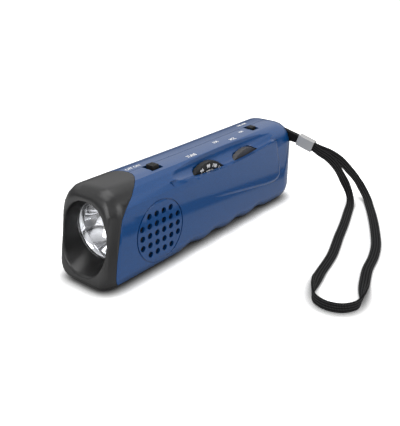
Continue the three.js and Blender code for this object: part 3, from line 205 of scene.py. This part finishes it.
def new_finish(name, colour, roughness, metallic=0.0, **constants):
    """A material with its steady numbers on the shader; patterns are joined in later."""
    made = bpy.data.materials.new(name)
    made.use_nodes = True
    shader = made.node_tree.nodes["Principled BSDF"]
    shader.inputs["Base Color"].default_value = (*colour, 1)
    shader.inputs["Roughness"].default_value = roughness
    shader.inputs["Metallic"].default_value = metallic
    for socket, value in constants.items():
        shader.inputs[socket.replace("_", " ")].default_value = value
    return made


def add_node(owner, kind, **settings):
    """A node in a material, a world or a node group, with its settings and its steady inputs."""
    node = getattr(owner, "node_tree", owner).nodes.new(kind)
    for key, value in settings.items():
        socket = key.replace("_", " ")
        if socket in node.inputs:
            node.inputs[socket].default_value = value
        else:
            setattr(node, key, value)
    return node


def add_ramp(owner, *stops, interpolation="LINEAR"):
    """A colour ramp through its stops, each a position and a colour."""
    node = add_node(owner, "ShaderNodeValToRGB")
    ramp = node.color_ramp
    ramp.interpolation = interpolation
    for position, colour in stops[1:-1]:
        ramp.elements.new(position).color = (*colour, 1)
    for end in (0, -1):
        position, colour = stops[end]
        ramp.elements[end].position = position
        ramp.elements[end].color = (*colour, 1)
    return node


def join_up(owner, *pairs):
    """Links each output to the input beside it."""
    for out_socket, in_socket in pairs:
        getattr(owner, "node_tree", owner).links.new(out_socket, in_socket)


def wear_finish(piece, finish):
    piece.data.materials.clear()
    piece.data.materials.append(finish)


woven = new_finish("woven_black_nylon", (0.007, 0.007, 0.008), 0.7, Specular_IOR_Level=0.12)
woven_shader = woven.node_tree.nodes["Principled BSDF"]
woven_uv = add_node(woven, "ShaderNodeUVMap", uv_map="along")
woven_rows = add_node(woven, "ShaderNodeTexWave", wave_type="BANDS", bands_direction="Y", Scale=0.42)
woven_ribs = add_node(woven, "ShaderNodeTexWave", wave_type="BANDS", bands_direction="X", Scale=0.2094)
woven_mix = add_node(woven, "ShaderNodeMath", operation="MULTIPLY")
woven_bump = add_node(woven, "ShaderNodeBump", Strength=0.7, Distance=0.0003)
# The weave's raised rows and ribs are painted lighter than its hollows: a weave pattern with painted
# sheen on its crests.
weave_and_sheen_tone = add_ramp(woven, (0.1, (0.001, 0.001, 0.0012)), (0.6, (0.042, 0.042, 0.043)))
join_up(
    woven,
    (woven_uv.outputs["UV"], woven_rows.inputs["Vector"]),
    (woven_uv.outputs["UV"], woven_ribs.inputs["Vector"]),
    (woven_rows.outputs["Fac"], woven_mix.inputs[0]),
    (woven_ribs.outputs["Fac"], woven_mix.inputs[1]),
    (woven_mix.outputs["Value"], woven_bump.inputs["Height"]),
    (woven_mix.outputs["Value"], weave_and_sheen_tone.inputs["Fac"]),
    (weave_and_sheen_tone.outputs["Color"], woven_shader.inputs["Base Color"]),
    (woven_bump.outputs["Normal"], woven_shader.inputs["Normal"]),
)
band = make_band("strap_webbing", band_path, band_section(ribs=4, per_rib=6, rib_rise=0.4, edge_rise=2.2))
wear_finish(band, woven)
band.visible_glossy = False
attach(band, "housing")
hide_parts("strap_band")

# Loop and crimp of the strap: a black cord loop runs round a steel pin in the rear corner of the
# housing, and a bright sheet-metal sleeve is pressed flat over it and over both ends of the band.


def free_copy(node, name, flats=False):
    """A copy of a solid with its loose triangles joined, and if asked each flat area made one face."""
    piece = bpy.data.objects.new(name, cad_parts[node].data.copy())
    scene.collection.objects.link(piece)
    pick(piece)
    bpy.ops.object.mode_set(mode="EDIT")
    bpy.ops.mesh.select_all(action="SELECT")
    bpy.ops.mesh.remove_doubles(threshold=0.000002)
    if flats:
        bpy.ops.mesh.dissolve_limited(angle_limit=math.radians(0.4))
    bpy.ops.object.mode_set(mode="OBJECT")
    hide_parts(node)
    return piece


def crease_flats(piece, most):
    """Marks the edges between large, nearly parallel flat faces, which reflect as two planes."""
    large = 40 * MM**2
    work = bmesh.new()
    work.from_mesh(piece.data)
    for edge in work.edges:
        if len(edge.link_faces) == 2 and min(face.calc_area() for face in edge.link_faces) > large:
            edge.smooth = edge.smooth and edge.calc_face_angle() > most
    work.to_mesh(piece.data)
    work.free()


def soften(piece, width, segments=2, angle=35, smooth=35, crease=0):
    """Rounds the edges sharper than angle and shades the rest smooth, flat faces first."""
    pick(piece)
    if width:
        bpy.ops.object.modifier_add(type="BEVEL")
        rounder = piece.modifiers[-1]
        rounder.width = width * MM
        rounder.segments = segments
        rounder.limit_method = "ANGLE"
        rounder.angle_limit = math.radians(angle)
        rounder.use_clamp_overlap = True
        bpy.ops.object.modifier_apply(modifier=rounder.name)
    bpy.ops.object.shade_smooth_by_angle(angle=math.radians(smooth))
    if crease:
        crease_flats(piece, math.radians(crease))
    bpy.ops.object.modifier_add(type="WEIGHTED_NORMAL")
    evener = piece.modifiers[-1]
    evener.keep_sharp = True
    evener.weight = 100 if crease else 60
    bpy.ops.object.modifier_apply(modifier=evener.name)


def make_grain():
    """Fine bumps with a slow change of gloss and shade, as moulded plastic and plated metal have."""
    group = bpy.data.node_groups.new("surface_grain", "ShaderNodeTree")
    for label, kind, value in (
        ("Fineness", "NodeSocketFloat", 2000.0),
        ("Height", "NodeSocketFloat", 0.1),
        ("Gloss", "NodeSocketFloat", 0.4),
        ("Gloss change", "NodeSocketFloat", 0.1),
        ("Colour", "NodeSocketColor", (0.5, 0.5, 0.5, 1)),
        ("Colour change", "NodeSocketFloat", 0.08),
    ):
        socket = group.interface.new_socket(label, in_out="INPUT", socket_type=kind)
        socket.default_value = value
    for label, kind in (
        ("Colour", "NodeSocketColor"),
        ("Gloss", "NodeSocketFloat"),
        ("Normal", "NodeSocketVector"),
    ):
        group.interface.new_socket(label, in_out="OUTPUT", socket_type=kind)
    given = add_node(group, "NodeGroupInput")
    result = add_node(group, "NodeGroupOutput")
    place = add_node(group, "ShaderNodeTexCoord")
    fine = add_node(group, "ShaderNodeTexNoise", Detail=3)
    slow = add_node(group, "ShaderNodeTexNoise", Scale=55, Detail=4)
    bump = add_node(group, "ShaderNodeBump", Distance=0.0001)
    gloss = add_node(group, "ShaderNodeMath", operation="MULTIPLY_ADD")
    gloss_base = add_node(group, "ShaderNodeMath", operation="MULTIPLY_ADD")
    gloss_base.inputs[1].default_value = -0.5
    centre = add_node(group, "ShaderNodeMath", operation="SUBTRACT")
    centre.inputs[1].default_value = 0.5
    shade = add_node(group, "ShaderNodeMath", operation="MULTIPLY_ADD")
    shade.inputs[2].default_value = 1.0
    tone = add_node(group, "ShaderNodeHueSaturation")
    join_up(
        group,
        (place.outputs["Object"], fine.inputs["Vector"]),
        (place.outputs["Object"], slow.inputs["Vector"]),
        (given.outputs["Fineness"], fine.inputs["Scale"]),
        (given.outputs["Height"], bump.inputs["Strength"]),
        (fine.outputs["Fac"], bump.inputs["Height"]),
        (slow.outputs["Fac"], gloss.inputs[0]),
        (given.outputs["Gloss change"], gloss.inputs[1]),
        (given.outputs["Gloss change"], gloss_base.inputs[0]),
        (given.outputs["Gloss"], gloss_base.inputs[2]),
        (gloss_base.outputs["Value"], gloss.inputs[2]),
        (slow.outputs["Fac"], centre.inputs[0]),
        (centre.outputs["Value"], shade.inputs[0]),
        (given.outputs["Colour change"], shade.inputs[1]),
        (shade.outputs["Value"], tone.inputs["Value"]),
        (given.outputs["Colour"], tone.inputs["Color"]),
        (tone.outputs["Color"], result.inputs["Colour"]),
        (gloss.outputs["Value"], result.inputs["Gloss"]),
        (bump.outputs["Normal"], result.inputs["Normal"]),
    )
    return group


grain = make_grain()


def grained(name, colour, roughness, *, metallic=0.0, fineness, height, change, drift, **constants):
    """A finish whose colour, gloss and bumps come from the grain group."""
    made = new_finish(name, colour, roughness, metallic, **constants)
    shader = made.node_tree.nodes["Principled BSDF"]
    node = add_node(
        made,
        "ShaderNodeGroup",
        node_tree=grain,
        Fineness=fineness,
        Height=height,
        Gloss=roughness,
        Gloss_change=change,
        Colour=(*colour, 1),
        Colour_change=drift,
    )
    join_up(
        made,
        (node.outputs["Colour"], shader.inputs["Base Color"]),
        (node.outputs["Gloss"], shader.inputs["Roughness"]),
        (node.outputs["Normal"], shader.inputs["Normal"]),
    )
    return made


plated = grained(
    "bright_plated_steel", (0.72, 0.72, 0.74), 0.22,
    metallic=1.0, fineness=900, height=0.12, change=0.16, drift=0.1,
)
pressed = grained(
    "pressed_bright_sheet", (0.5, 0.5, 0.5), 0.38,
    metallic=0.55, fineness=420, height=0.9, change=0.2, drift=0.25,
)
cord_black = grained(
    "black_cord", (0.006, 0.006, 0.007), 0.6,
    fineness=1800, height=0.6, change=0.1, drift=0.3, Specular_IOR_Level=0.12,
)
crimp = free_copy("strap_crimp", "crimp_sleeve")
soften(crimp, 0.35, segments=3)
wear_finish(crimp, pressed)
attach(crimp, "housing")
loop = free_copy("strap_loop", "cord_loop")
soften(loop, 0.9, segments=3, angle=50)
wear_finish(loop, cord_black)
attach(loop, "housing")
wear_finish(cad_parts["strap_pin"], plated)

# Housing: two halves moulded in plastic and sprayed with a metallic blue under clear gloss.
# They meet in a hairline seam along the top and bottom and are held by four screws.
paint_blue = (0.001, 0.052, 0.19)
blue = new_finish(
    "metallic_blue_paint", paint_blue, 0.38, 0.2,
    Coat_Weight=0.8, Coat_Roughness=0.05, Specular_IOR_Level=0.25,
)
blue_shader = blue.node_tree.nodes["Principled BSDF"]
blue_place = add_node(blue, "ShaderNodeTexCoord")
blue_flakes = add_node(blue, "ShaderNodeTexVoronoi", Scale=5200.0)
blue_split = add_node(blue, "ShaderNodeSeparateColor")
blue_glint = add_node(blue, "ShaderNodeMapRange", To_Min=0.85, To_Max=1.25)
blue_tone = add_node(blue, "ShaderNodeHueSaturation", Color=(*paint_blue, 1))
blue_rough = add_node(blue, "ShaderNodeMapRange", To_Min=0.3, To_Max=0.42)
blue_peel = add_node(blue, "ShaderNodeTexNoise", Scale=240.0, Detail=2.0)
blue_bump = add_node(blue, "ShaderNodeBump", Strength=0.05, Distance=0.0002)
join_up(
    blue,
    (blue_place.outputs["Object"], blue_flakes.inputs["Vector"]),
    (blue_place.outputs["Object"], blue_peel.inputs["Vector"]),
    (blue_flakes.outputs["Color"], blue_split.inputs["Color"]),
    (blue_split.outputs["Red"], blue_glint.inputs["Value"]),
    (blue_split.outputs["Green"], blue_rough.inputs["Value"]),
    (blue_glint.outputs["Result"], blue_tone.inputs["Value"]),
    (blue_tone.outputs["Color"], blue_shader.inputs["Base Color"]),
    (blue_rough.outputs["Result"], blue_shader.inputs["Roughness"]),
    (blue_peel.outputs["Fac"], blue_bump.inputs["Height"]),
    (blue_bump.outputs["Normal"], blue_shader.inputs["Normal"]),
)
left = free_copy("left_shell", "left_half", flats=True)
soften(left, 0, smooth=32, crease=3)
wear_finish(left, blue)
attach(left, "housing")
right = free_copy("right_shell", "right_half", flats=True)
soften(right, 0, smooth=32, crease=3)
wear_finish(right, blue)
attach(right, "housing")
zinc = grained(
    "zinc_plated_screw", (0.5, 0.5, 0.52), 0.32,
    metallic=1.0, fineness=1500, height=0.1, change=0.2, drift=0.15,
)
for number in range(1, 5):
    wear_finish(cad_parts[f"housing_screw_{number}"], zinc)

# Lamp head: the satin black front, moulded in one piece with its funnel and slipped into the
# open end of both halves.
satin_black = grained(
    "satin_black_plastic", (0.014, 0.014, 0.0145), 0.3,
    fineness=1600, height=0.12, change=0.08, drift=0.15,
)
head = free_copy("lamp_head", "black_head")
soften(head, 0.7, segments=3, angle=50, smooth=40)
wear_finish(head, satin_black)
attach(head, "housing")

# Lamp: a clear plastic window, a vacuum-plated reflector with a flat rim, a white light-emitting
# diode on a small round board, and the cup that presses them together.
window = free_copy("lens", "lamp_window")
soften(window, 0.2)
clear = new_finish("clear_window", (0.97, 0.98, 1.0), 0.03, Transmission_Weight=1.0, IOR=1.46)
clear_place = add_node(clear, "ShaderNodeTexCoord")
clear_smear = add_node(clear, "ShaderNodeTexNoise", Scale=160.0, Detail=3.0)
clear_range = add_node(clear, "ShaderNodeMapRange", To_Min=0.01, To_Max=0.05)
join_up(
    clear,
    (clear_place.outputs["Object"], clear_smear.inputs["Vector"]),
    (clear_smear.outputs["Fac"], clear_range.inputs["Value"]),
    (clear_range.outputs["Result"], clear.node_tree.nodes["Principled BSDF"].inputs["Roughness"]),
)
wear_finish(window, clear)
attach(window, "housing")
bowl = free_copy("reflector", "plated_bowl")
soften(bowl, 0, smooth=40)
mirror_bright = grained(
    "vacuum_plated_chrome", (0.93, 0.93, 0.94), 0.07,
    metallic=1.0, fineness=60, height=0.25, change=0.06, drift=0.03,
)
wear_finish(bowl, mirror_bright)
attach(bowl, "housing")
milky = grained(
    "white_diode_resin", (0.86, 0.85, 0.74), 0.2,
    fineness=1200, height=0.05, change=0.1, drift=0.05,
)
wear_finish(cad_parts["led_lamp"], milky)
green = grained(
    "green_circuit_lacquer", (0.02, 0.14, 0.05), 0.35,
    fineness=500, height=0.2, change=0.2, drift=0.3,
)
wear_finish(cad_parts["lamp_board"], green)
dark_grey = grained(
    "dark_grey_plastic", (0.05, 0.05, 0.055), 0.45,
    fineness=1800, height=0.12, change=0.1, drift=0.15,
)
wear_finish(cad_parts["lamp_holder"], dark_grey)

# Speaker: black cloth behind the grille, a pressed steel frame, a paper cone and a magnet.
# It is fixed to the inner side of the left half, behind the round field of holes.
cloth = new_finish("speaker_cloth", (0.012, 0.012, 0.013), 0.9)
cloth_shader = cloth.node_tree.nodes["Principled BSDF"]
cloth_place = add_node(cloth, "ShaderNodeTexCoord")
cloth_knit = add_node(cloth, "ShaderNodeTexVoronoi", Scale=1400.0)
cloth_bump = add_node(cloth, "ShaderNodeBump", Strength=0.6, Distance=0.0002)
cloth_tone = add_ramp(cloth, (0.0, (0.03, 0.03, 0.033)), (1.0, (0.006, 0.006, 0.007)))
join_up(
    cloth,
    (cloth_place.outputs["Object"], cloth_knit.inputs["Vector"]),
    (cloth_knit.outputs["Distance"], cloth_bump.inputs["Height"]),
    (cloth_knit.outputs["Distance"], cloth_tone.inputs["Fac"]),
    (cloth_tone.outputs["Color"], cloth_shader.inputs["Base Color"]),
    (cloth_bump.outputs["Normal"], cloth_shader.inputs["Normal"]),
)
wear_finish(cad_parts["speaker_cloth"], cloth)
wear_finish(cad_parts["speaker_cone"], cloth)
wear_finish(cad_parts["speaker_frame"], zinc)
wear_finish(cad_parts["speaker_magnet"], zinc)

# Thumbwheels: black and dark grey plastic discs with a knurled rim, each held on its shaft by a
# small screw. The tuning wheel carries the numbers of its two wave bands in white.
tuning_x = -3.5
wheel_face = -22.9
wheel_axis_z = 32.5
wheel_black = grained(
    "wheel_black_plastic", (0.012, 0.012, 0.012), 0.42,
    fineness=1800, height=0.12, change=0.1, drift=0.15, Specular_IOR_Level=0.3,
)
wheel_grey = grained(
    "wheel_grey_plastic", (0.055, 0.053, 0.055), 0.42,
    fineness=1800, height=0.12, change=0.1, drift=0.15,
)
tuning = free_copy("tuning_wheel", "tuning_disc")
soften(tuning, 0.12, angle=40, smooth=30)
wear_finish(tuning, wheel_black)
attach(tuning, "tuning_dial")
volume = free_copy("volume_wheel", "volume_disc")
soften(volume, 0.12, angle=40, smooth=30)
wear_finish(volume, wheel_grey)
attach(volume, "volume_dial")
for part in ("tuning_wheel_screw", "volume_wheel_screw"):
    wear_finish(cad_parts[part], zinc)
print_white = grained(
    "white_print", (0.85, 0.85, 0.85), 0.55,
    fineness=3000, height=0.1, change=0.1, drift=0.05,
)


def flat_words(name, words, height, thickness, boldness):
    """Words as a thin mesh in millimetres, centred, lying in X and Y."""
    size_per_height = 1.4
    curve = bpy.data.curves.new(name, "FONT")
    curve.body = words
    curve.size = height * size_per_height
    curve.align_x = "CENTER"
    curve.align_y = "CENTER"
    curve.extrude = thickness / 2
    curve.offset = boldness
    curve.resolution_u = 2
    piece = bpy.data.objects.new(name, curve)
    scene.collection.objects.link(piece)
    pick(piece)
    bpy.ops.object.convert(target="MESH")
    return bpy.context.view_layer.objects.active


def lay_down(piece, place):
    """Puts the mesh where the matrix says, from millimetres to metres, its object at the origin."""
    piece.data.transform(Matrix.Scale(MM, 4) @ place)
    piece.matrix_world = Matrix.Identity(4)


dial_rows = [
    (16.3, 2.3, ["88", "90", "92", "94", "96", "98", "100", "102", "104", "106", "108"]),
    (12.9, 1.9, ["530", "600", "650", "700", "800", "900", "1000", "1200", "1400", "1600"]),
]
first_number = -110
number_step = 22
print_proud = 0.02
stand_up = Matrix.Rotation(math.radians(90), 4, "X")
dial_centre = Matrix.Translation((tuning_x, wheel_face - print_proud, wheel_axis_z))
dial_pieces = []
for radius, height, numbers in dial_rows:
    for index, number in enumerate(numbers):
        digits = flat_words(f"dial_number_{number}", number, height, thickness=0.05, boldness=0.06)
        turn = Matrix.Rotation(math.radians(first_number + index * number_step), 4, "Y")
        lay_down(digits, dial_centre @ turn @ Matrix.Translation((0, 0, radius)) @ stand_up)
        wear_finish(digits, print_white)
        dial_pieces.append(digits)
dial_print = dial_pieces[0]
pick(dial_print)
for digits in dial_pieces:
    digits.select_set(True)
bpy.ops.object.join()
dial_print.name = "dial_numbers"
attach(dial_print, "tuning_dial")

# Slide switches: black plastic knobs with three grip grooves, which come up through openings in
# the top of the housing. Each sits on the body of its switch inside.
for node, name, body in (
    ("light_slider", "light_knob", "light_switch"),
    ("band_slider", "band_knob", "band_switch"),
):
    knob = free_copy(node, name)
    soften(knob, 0.18, angle=40)
    wear_finish(knob, wheel_black)
    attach(knob, body)
for part in ("light_switch_body", "band_switch_body"):
    wear_finish(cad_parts[part], dark_grey)

# Printed words: white ink beside the controls, printed on the curved top of the housing.
# Each word is a flat mesh, held over the top and brought straight down onto the paint.
above_top = 60
ink_lift = 0.00004
labels = [
    ("label_light", "OFF ON", 2.3, -47, 3.4),
    ("label_tune", "TUNE", 2.3, -9, -8.6),
    ("label_fm", "FM", 2.6, 20, -4.6),
    ("label_volume", "VOL", 2.3, 33, -8.6),
    ("label_am", "AM", 2.2, 48, -4.4),
    ("label_fm_am", "FM AM", 2.3, 62, 4.8),
]
for name, words, height, x, y in labels:
    label = flat_words(name, words, height, thickness=0, boldness=0.07)
    lay_down(label, Matrix.Translation((x, y + seam_y, above_top)))
    pick(label)
    bpy.ops.object.modifier_add(type="SHRINKWRAP")
    wrap = label.modifiers[-1]
    wrap.wrap_method = "PROJECT"
    wrap.use_project_z = True
    wrap.use_negative_direction = True
    wrap.use_positive_direction = False
    wrap.target = left if y < 0 else right
    wrap.offset = ink_lift
    bpy.ops.object.modifier_apply(modifier=wrap.name)
    wear_finish(label, print_white)
    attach(label, "housing")

# Inside: a green lacquered radio board with its capacitor, volume control and ferrite aerial, the
# gear train and generator in a cream plastic frame, and three cells in sleeves on a tray.
copper = grained(
    "enamelled_copper", (0.5, 0.17, 0.06), 0.3,
    metallic=0.6, fineness=300, height=0.2, change=0.15, drift=0.2,
)
copper_place = add_node(copper, "ShaderNodeTexCoord")
copper_turns = add_node(copper, "ShaderNodeTexWave", wave_type="BANDS", bands_direction="X", Scale=900.0)
copper_bump = add_node(copper, "ShaderNodeBump", Strength=0.7, Distance=0.0002)
join_up(
    copper,
    (copper_place.outputs["Object"], copper_turns.inputs["Vector"]),
    (copper_turns.outputs["Fac"], copper_bump.inputs["Height"]),
    (copper_bump.outputs["Normal"], copper.node_tree.nodes["Principled BSDF"].inputs["Normal"]),
)
cream = grained(
    "cream_plastic", (0.72, 0.7, 0.62), 0.4,
    fineness=1500, height=0.1, change=0.1, drift=0.08,
)
ferrite = grained(
    "dark_ferrite", (0.04, 0.036, 0.034), 0.75,
    fineness=2600, height=0.4, change=0.1, drift=0.25,
)
brass = grained(
    "turned_brass", (0.72, 0.5, 0.2), 0.28,
    metallic=1.0, fineness=1200, height=0.12, change=0.15, drift=0.12,
)
sleeve = grained(
    "green_cell_sleeve", (0.05, 0.28, 0.12), 0.25,
    fineness=700, height=0.08, change=0.1, drift=0.12,
)
inside_finishes = {
    "main_board": green,
    "tuning_capacitor": cream,
    "volume_control": dark_grey,
    "ferrite_rod": ferrite,
    "aerial_coil": copper,
    "gearbox_frame": cream,
    "gearbox_cover": cream,
    "drive_gear": cream,
    "idler_gear": cream,
    "idler_axle": plated,
    "rotor_pinion": brass,
    "rotor_magnet": ferrite,
    "rotor_axle": plated,
    "stator_coil": copper,
    "battery_cell_1": sleeve,
    "battery_cell_2": sleeve,
    "battery_cell_3": sleeve,
    "battery_tray": dark_grey,
}
for part, finish in inside_finishes.items():
    wear_finish(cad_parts[part], finish)

# Crank: a black moulded arm on the gear train's steel shaft, with a fork at its end. The knob
# folds out of the fork on a steel pin and turns on its own post.
for part, finish in (
    ("crank_bush", brass),
    ("crank_axle", plated),
    ("knob_pin", plated),
    ("crank_screw", zinc),
):
    wear_finish(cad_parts[part], finish)
for node, name, body, finish, round_edge, place in (
    ("crank_arm", "arm_moulding", "crank", satin_black, 0.4, "black_plastic"),
    ("knob_post", "fold_post", "knob_stem", plated, 0.2, "plain_steel"),
    ("knob_grip", "grip_sleeve", "knob", wheel_black, 0.3, "black_plastic"),
):
    turned = free_copy(node, name)
    soften(turned, round_edge, segments=3, angle=40)
    wear_finish(turned, finish)
    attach(turned, body)

# Table: a plain white studio top, with a painted shadow close to what stands on it. A glossy surface
# mirrors only painted reflections of it: one soft dark strip beside the flashlight, a painted glow ahead
# of the lamp and painted shade underneath.
table_level = -0.0002
painted_shadow_reach = 0.009
# Where the painted reflections lie: the dark strip's span and slant, the glow ahead of the lamp, and the
# edge of the painted shade underneath.
strip_from = -0.1
strip_to = -0.048
strip_slant = -0.14
ahead_from = -0.1
ahead_to = -0.13
underside_edge = -0.045


def grey(level):
    return (level, level, level)


bpy.ops.object.select_all(action="DESELECT")
bpy.ops.mesh.primitive_plane_add(size=8, location=(0, 0, table_level))
table = bpy.context.object
table.name = "table_top"
white_table = new_finish("white_table", (0.86, 0.86, 0.86), 0.9, Specular_IOR_Level=0.0)
table_shader = white_table.node_tree.nodes["Principled BSDF"]
table_rays = add_node(white_table, "ShaderNodeLightPath")
table_place = add_node(white_table, "ShaderNodeTexCoord")
table_across = add_node(white_table, "ShaderNodeSeparateXYZ")
# Painted shadow: an occlusion node darkens the table's colour and its glow near whatever stands on it.
table_contact_shadow = add_node(white_table, "ShaderNodeAmbientOcclusion", Distance=painted_shadow_reach, samples=8)
table_shade = add_node(white_table, "ShaderNodeMath", operation="POWER")
table_shade.inputs[1].default_value = 1.8
table_seen = add_node(white_table, "ShaderNodeMath", operation="MULTIPLY")
table_lift = add_node(white_table, "ShaderNodeMath", operation="MULTIPLY")
table_lift.inputs[1].default_value = 0.6
# Painted shade in mirrors: under and beside the body the glossy glow is darkened by the occlusion, so the
# body's bottom edge reflects a dark line.
table_open = add_node(white_table, "ShaderNodeMath", operation="LESS_THAN")
table_open.inputs[1].default_value = underside_edge
table_mirror_shade = add_node(white_table, "ShaderNodeMath", operation="MAXIMUM")
table_sheen = add_node(white_table, "ShaderNodeMath", operation="MULTIPLY")
# Painted reflection: glossy rays see the table glow up to 1.6 times brighter ahead of the lamp, so the
# reflector and the head's lip look brighter.
table_painted_glow_ahead = add_node(
    white_table, "ShaderNodeMapRange", From_Min=ahead_from, From_Max=ahead_to, To_Min=0.82, To_Max=1.6
)
table_mirrored = add_node(white_table, "ShaderNodeMath", operation="MULTIPLY_ADD")
# Painted reflection: seen only by glossy rays, the table glows with a dark strip slanting beside the
# flashlight.
table_slant = add_node(white_table, "ShaderNodeMath", operation="MULTIPLY_ADD")
table_slant.inputs[1].default_value = strip_slant
table_span = add_node(white_table, "ShaderNodeMapRange", From_Min=strip_from, From_Max=strip_to)
table_painted_dark_strip = add_ramp(
    white_table,
    (0.0, grey(0.8)),
    (0.3, grey(0.75)),
    (0.42, grey(0.02)),
    (0.6, grey(0.02)),
    (0.72, grey(0.7)),
    (1.0, grey(0.7)),
    interpolation="EASE",
)
table_glow = add_node(white_table, "ShaderNodeMix", data_type="RGBA", A=(1, 1, 1, 1))
# Painted shade in the table's colour: black where the occlusion is full, pale grey in the open.
table_shadowed_grey = add_node(white_table, "ShaderNodeMix", data_type="RGBA", A=(0, 0, 0, 1), B=(*grey(0.95), 1))
table_tone = add_node(white_table, "ShaderNodeMix", data_type="RGBA", B=(0, 0, 0, 1))
join_up(
    white_table,
    (table_contact_shadow.outputs["AO"], table_shade.inputs[0]),
    (table_rays.outputs["Is Camera Ray"], table_seen.inputs[0]),
    (table_shade.outputs["Value"], table_seen.inputs[1]),
    (table_seen.outputs["Value"], table_lift.inputs[0]),
    (table_place.outputs["Object"], table_across.inputs["Vector"]),
    (table_across.outputs["Y"], table_open.inputs[0]),
    (table_open.outputs["Value"], table_mirror_shade.inputs[0]),
    (table_shade.outputs["Value"], table_mirror_shade.inputs[1]),
    (table_rays.outputs["Is Glossy Ray"], table_sheen.inputs[0]),
    (table_mirror_shade.outputs["Value"], table_sheen.inputs[1]),
    (table_across.outputs["X"], table_painted_glow_ahead.inputs["Value"]),
    (table_sheen.outputs["Value"], table_mirrored.inputs[0]),
    (table_painted_glow_ahead.outputs["Result"], table_mirrored.inputs[1]),
    (table_lift.outputs["Value"], table_mirrored.inputs[2]),
    (table_mirrored.outputs["Value"], table_shader.inputs["Emission Strength"]),
    (table_across.outputs["X"], table_slant.inputs[0]),
    (table_across.outputs["Y"], table_slant.inputs[2]),
    (table_slant.outputs["Value"], table_span.inputs["Value"]),
    (table_span.outputs["Result"], table_painted_dark_strip.inputs["Fac"]),
    (table_rays.outputs["Is Glossy Ray"], table_glow.inputs["Factor"]),
    (table_painted_dark_strip.outputs["Color"], table_glow.inputs["B"]),
    (table_glow.outputs["Result"], table_shader.inputs["Emission Color"]),
    (table_shade.outputs["Value"], table_shadowed_grey.inputs["Factor"]),
    (table_shadowed_grey.outputs["Result"], table_tone.inputs["A"]),
    (table_rays.outputs["Is Glossy Ray"], table_tone.inputs["Factor"]),
    (table_tone.outputs["Result"], table_shader.inputs["Base Color"]),
)
wear_finish(table, white_table)

# Light: a room that the camera sees as plain white, and that lights and mirrors dim near the table
# and bright higher up. One large soft light hangs above, one stands at the lamp's side and one at
# the camera's right.
world = bpy.data.worlds.new("studio")
scene.world = world
world.use_nodes = True
sky_rays = add_node(world, "ShaderNodeLightPath")
sky_place = add_node(world, "ShaderNodeTexCoord")
sky_height = add_node(world, "ShaderNodeSeparateXYZ")
sky_tone = add_ramp(
    world,
    (0.0, (0.08, 0.08, 0.09)),
    (0.16, grey(0.1)),
    (0.32, grey(0.8)),
    (0.5, grey(1.0)),
    (1.0, grey(0.4)),
)
sky_mix = add_node(world, "ShaderNodeMix", data_type="RGBA", B=(1, 1, 1, 1))
join_up(
    world,
    (sky_place.outputs["Generated"], sky_height.inputs["Vector"]),
    (sky_height.outputs["Z"], sky_tone.inputs["Fac"]),
    (sky_tone.outputs["Color"], sky_mix.inputs["A"]),
    (sky_rays.outputs["Is Camera Ray"], sky_mix.inputs["Factor"]),
    (sky_mix.outputs["Result"], world.node_tree.nodes["Background"].inputs["Color"]),
)


def soft_light(name, place, target, width, height, power):
    """A rectangular lamp at its place, aimed at the target."""
    lamp = bpy.data.lights.new(name, "AREA")
    lamp.shape = "RECTANGLE"
    lamp.size = width
    lamp.size_y = height
    lamp.energy = power
    stand = bpy.data.objects.new(name, lamp)
    scene.collection.objects.link(stand)
    aim = Vector(target) - Vector(place)
    stand.matrix_world = Matrix.Translation(place) @ aim.to_track_quat("-Z", "Y").to_matrix().to_4x4()


soft_light("light_above", (0.0, 0.1, 0.9), (0, 0, 0), width=0.9, height=0.6, power=4.2)
soft_light("light_lamp_side", (-0.9, -0.1, 0.5), (-0.05, 0, 0.03), width=0.3, height=0.7, power=2.5)
soft_light("light_camera_right", (0.3, -0.9, 0.35), (0, 0, 0.03), width=0.35, height=0.6, power=2.0)
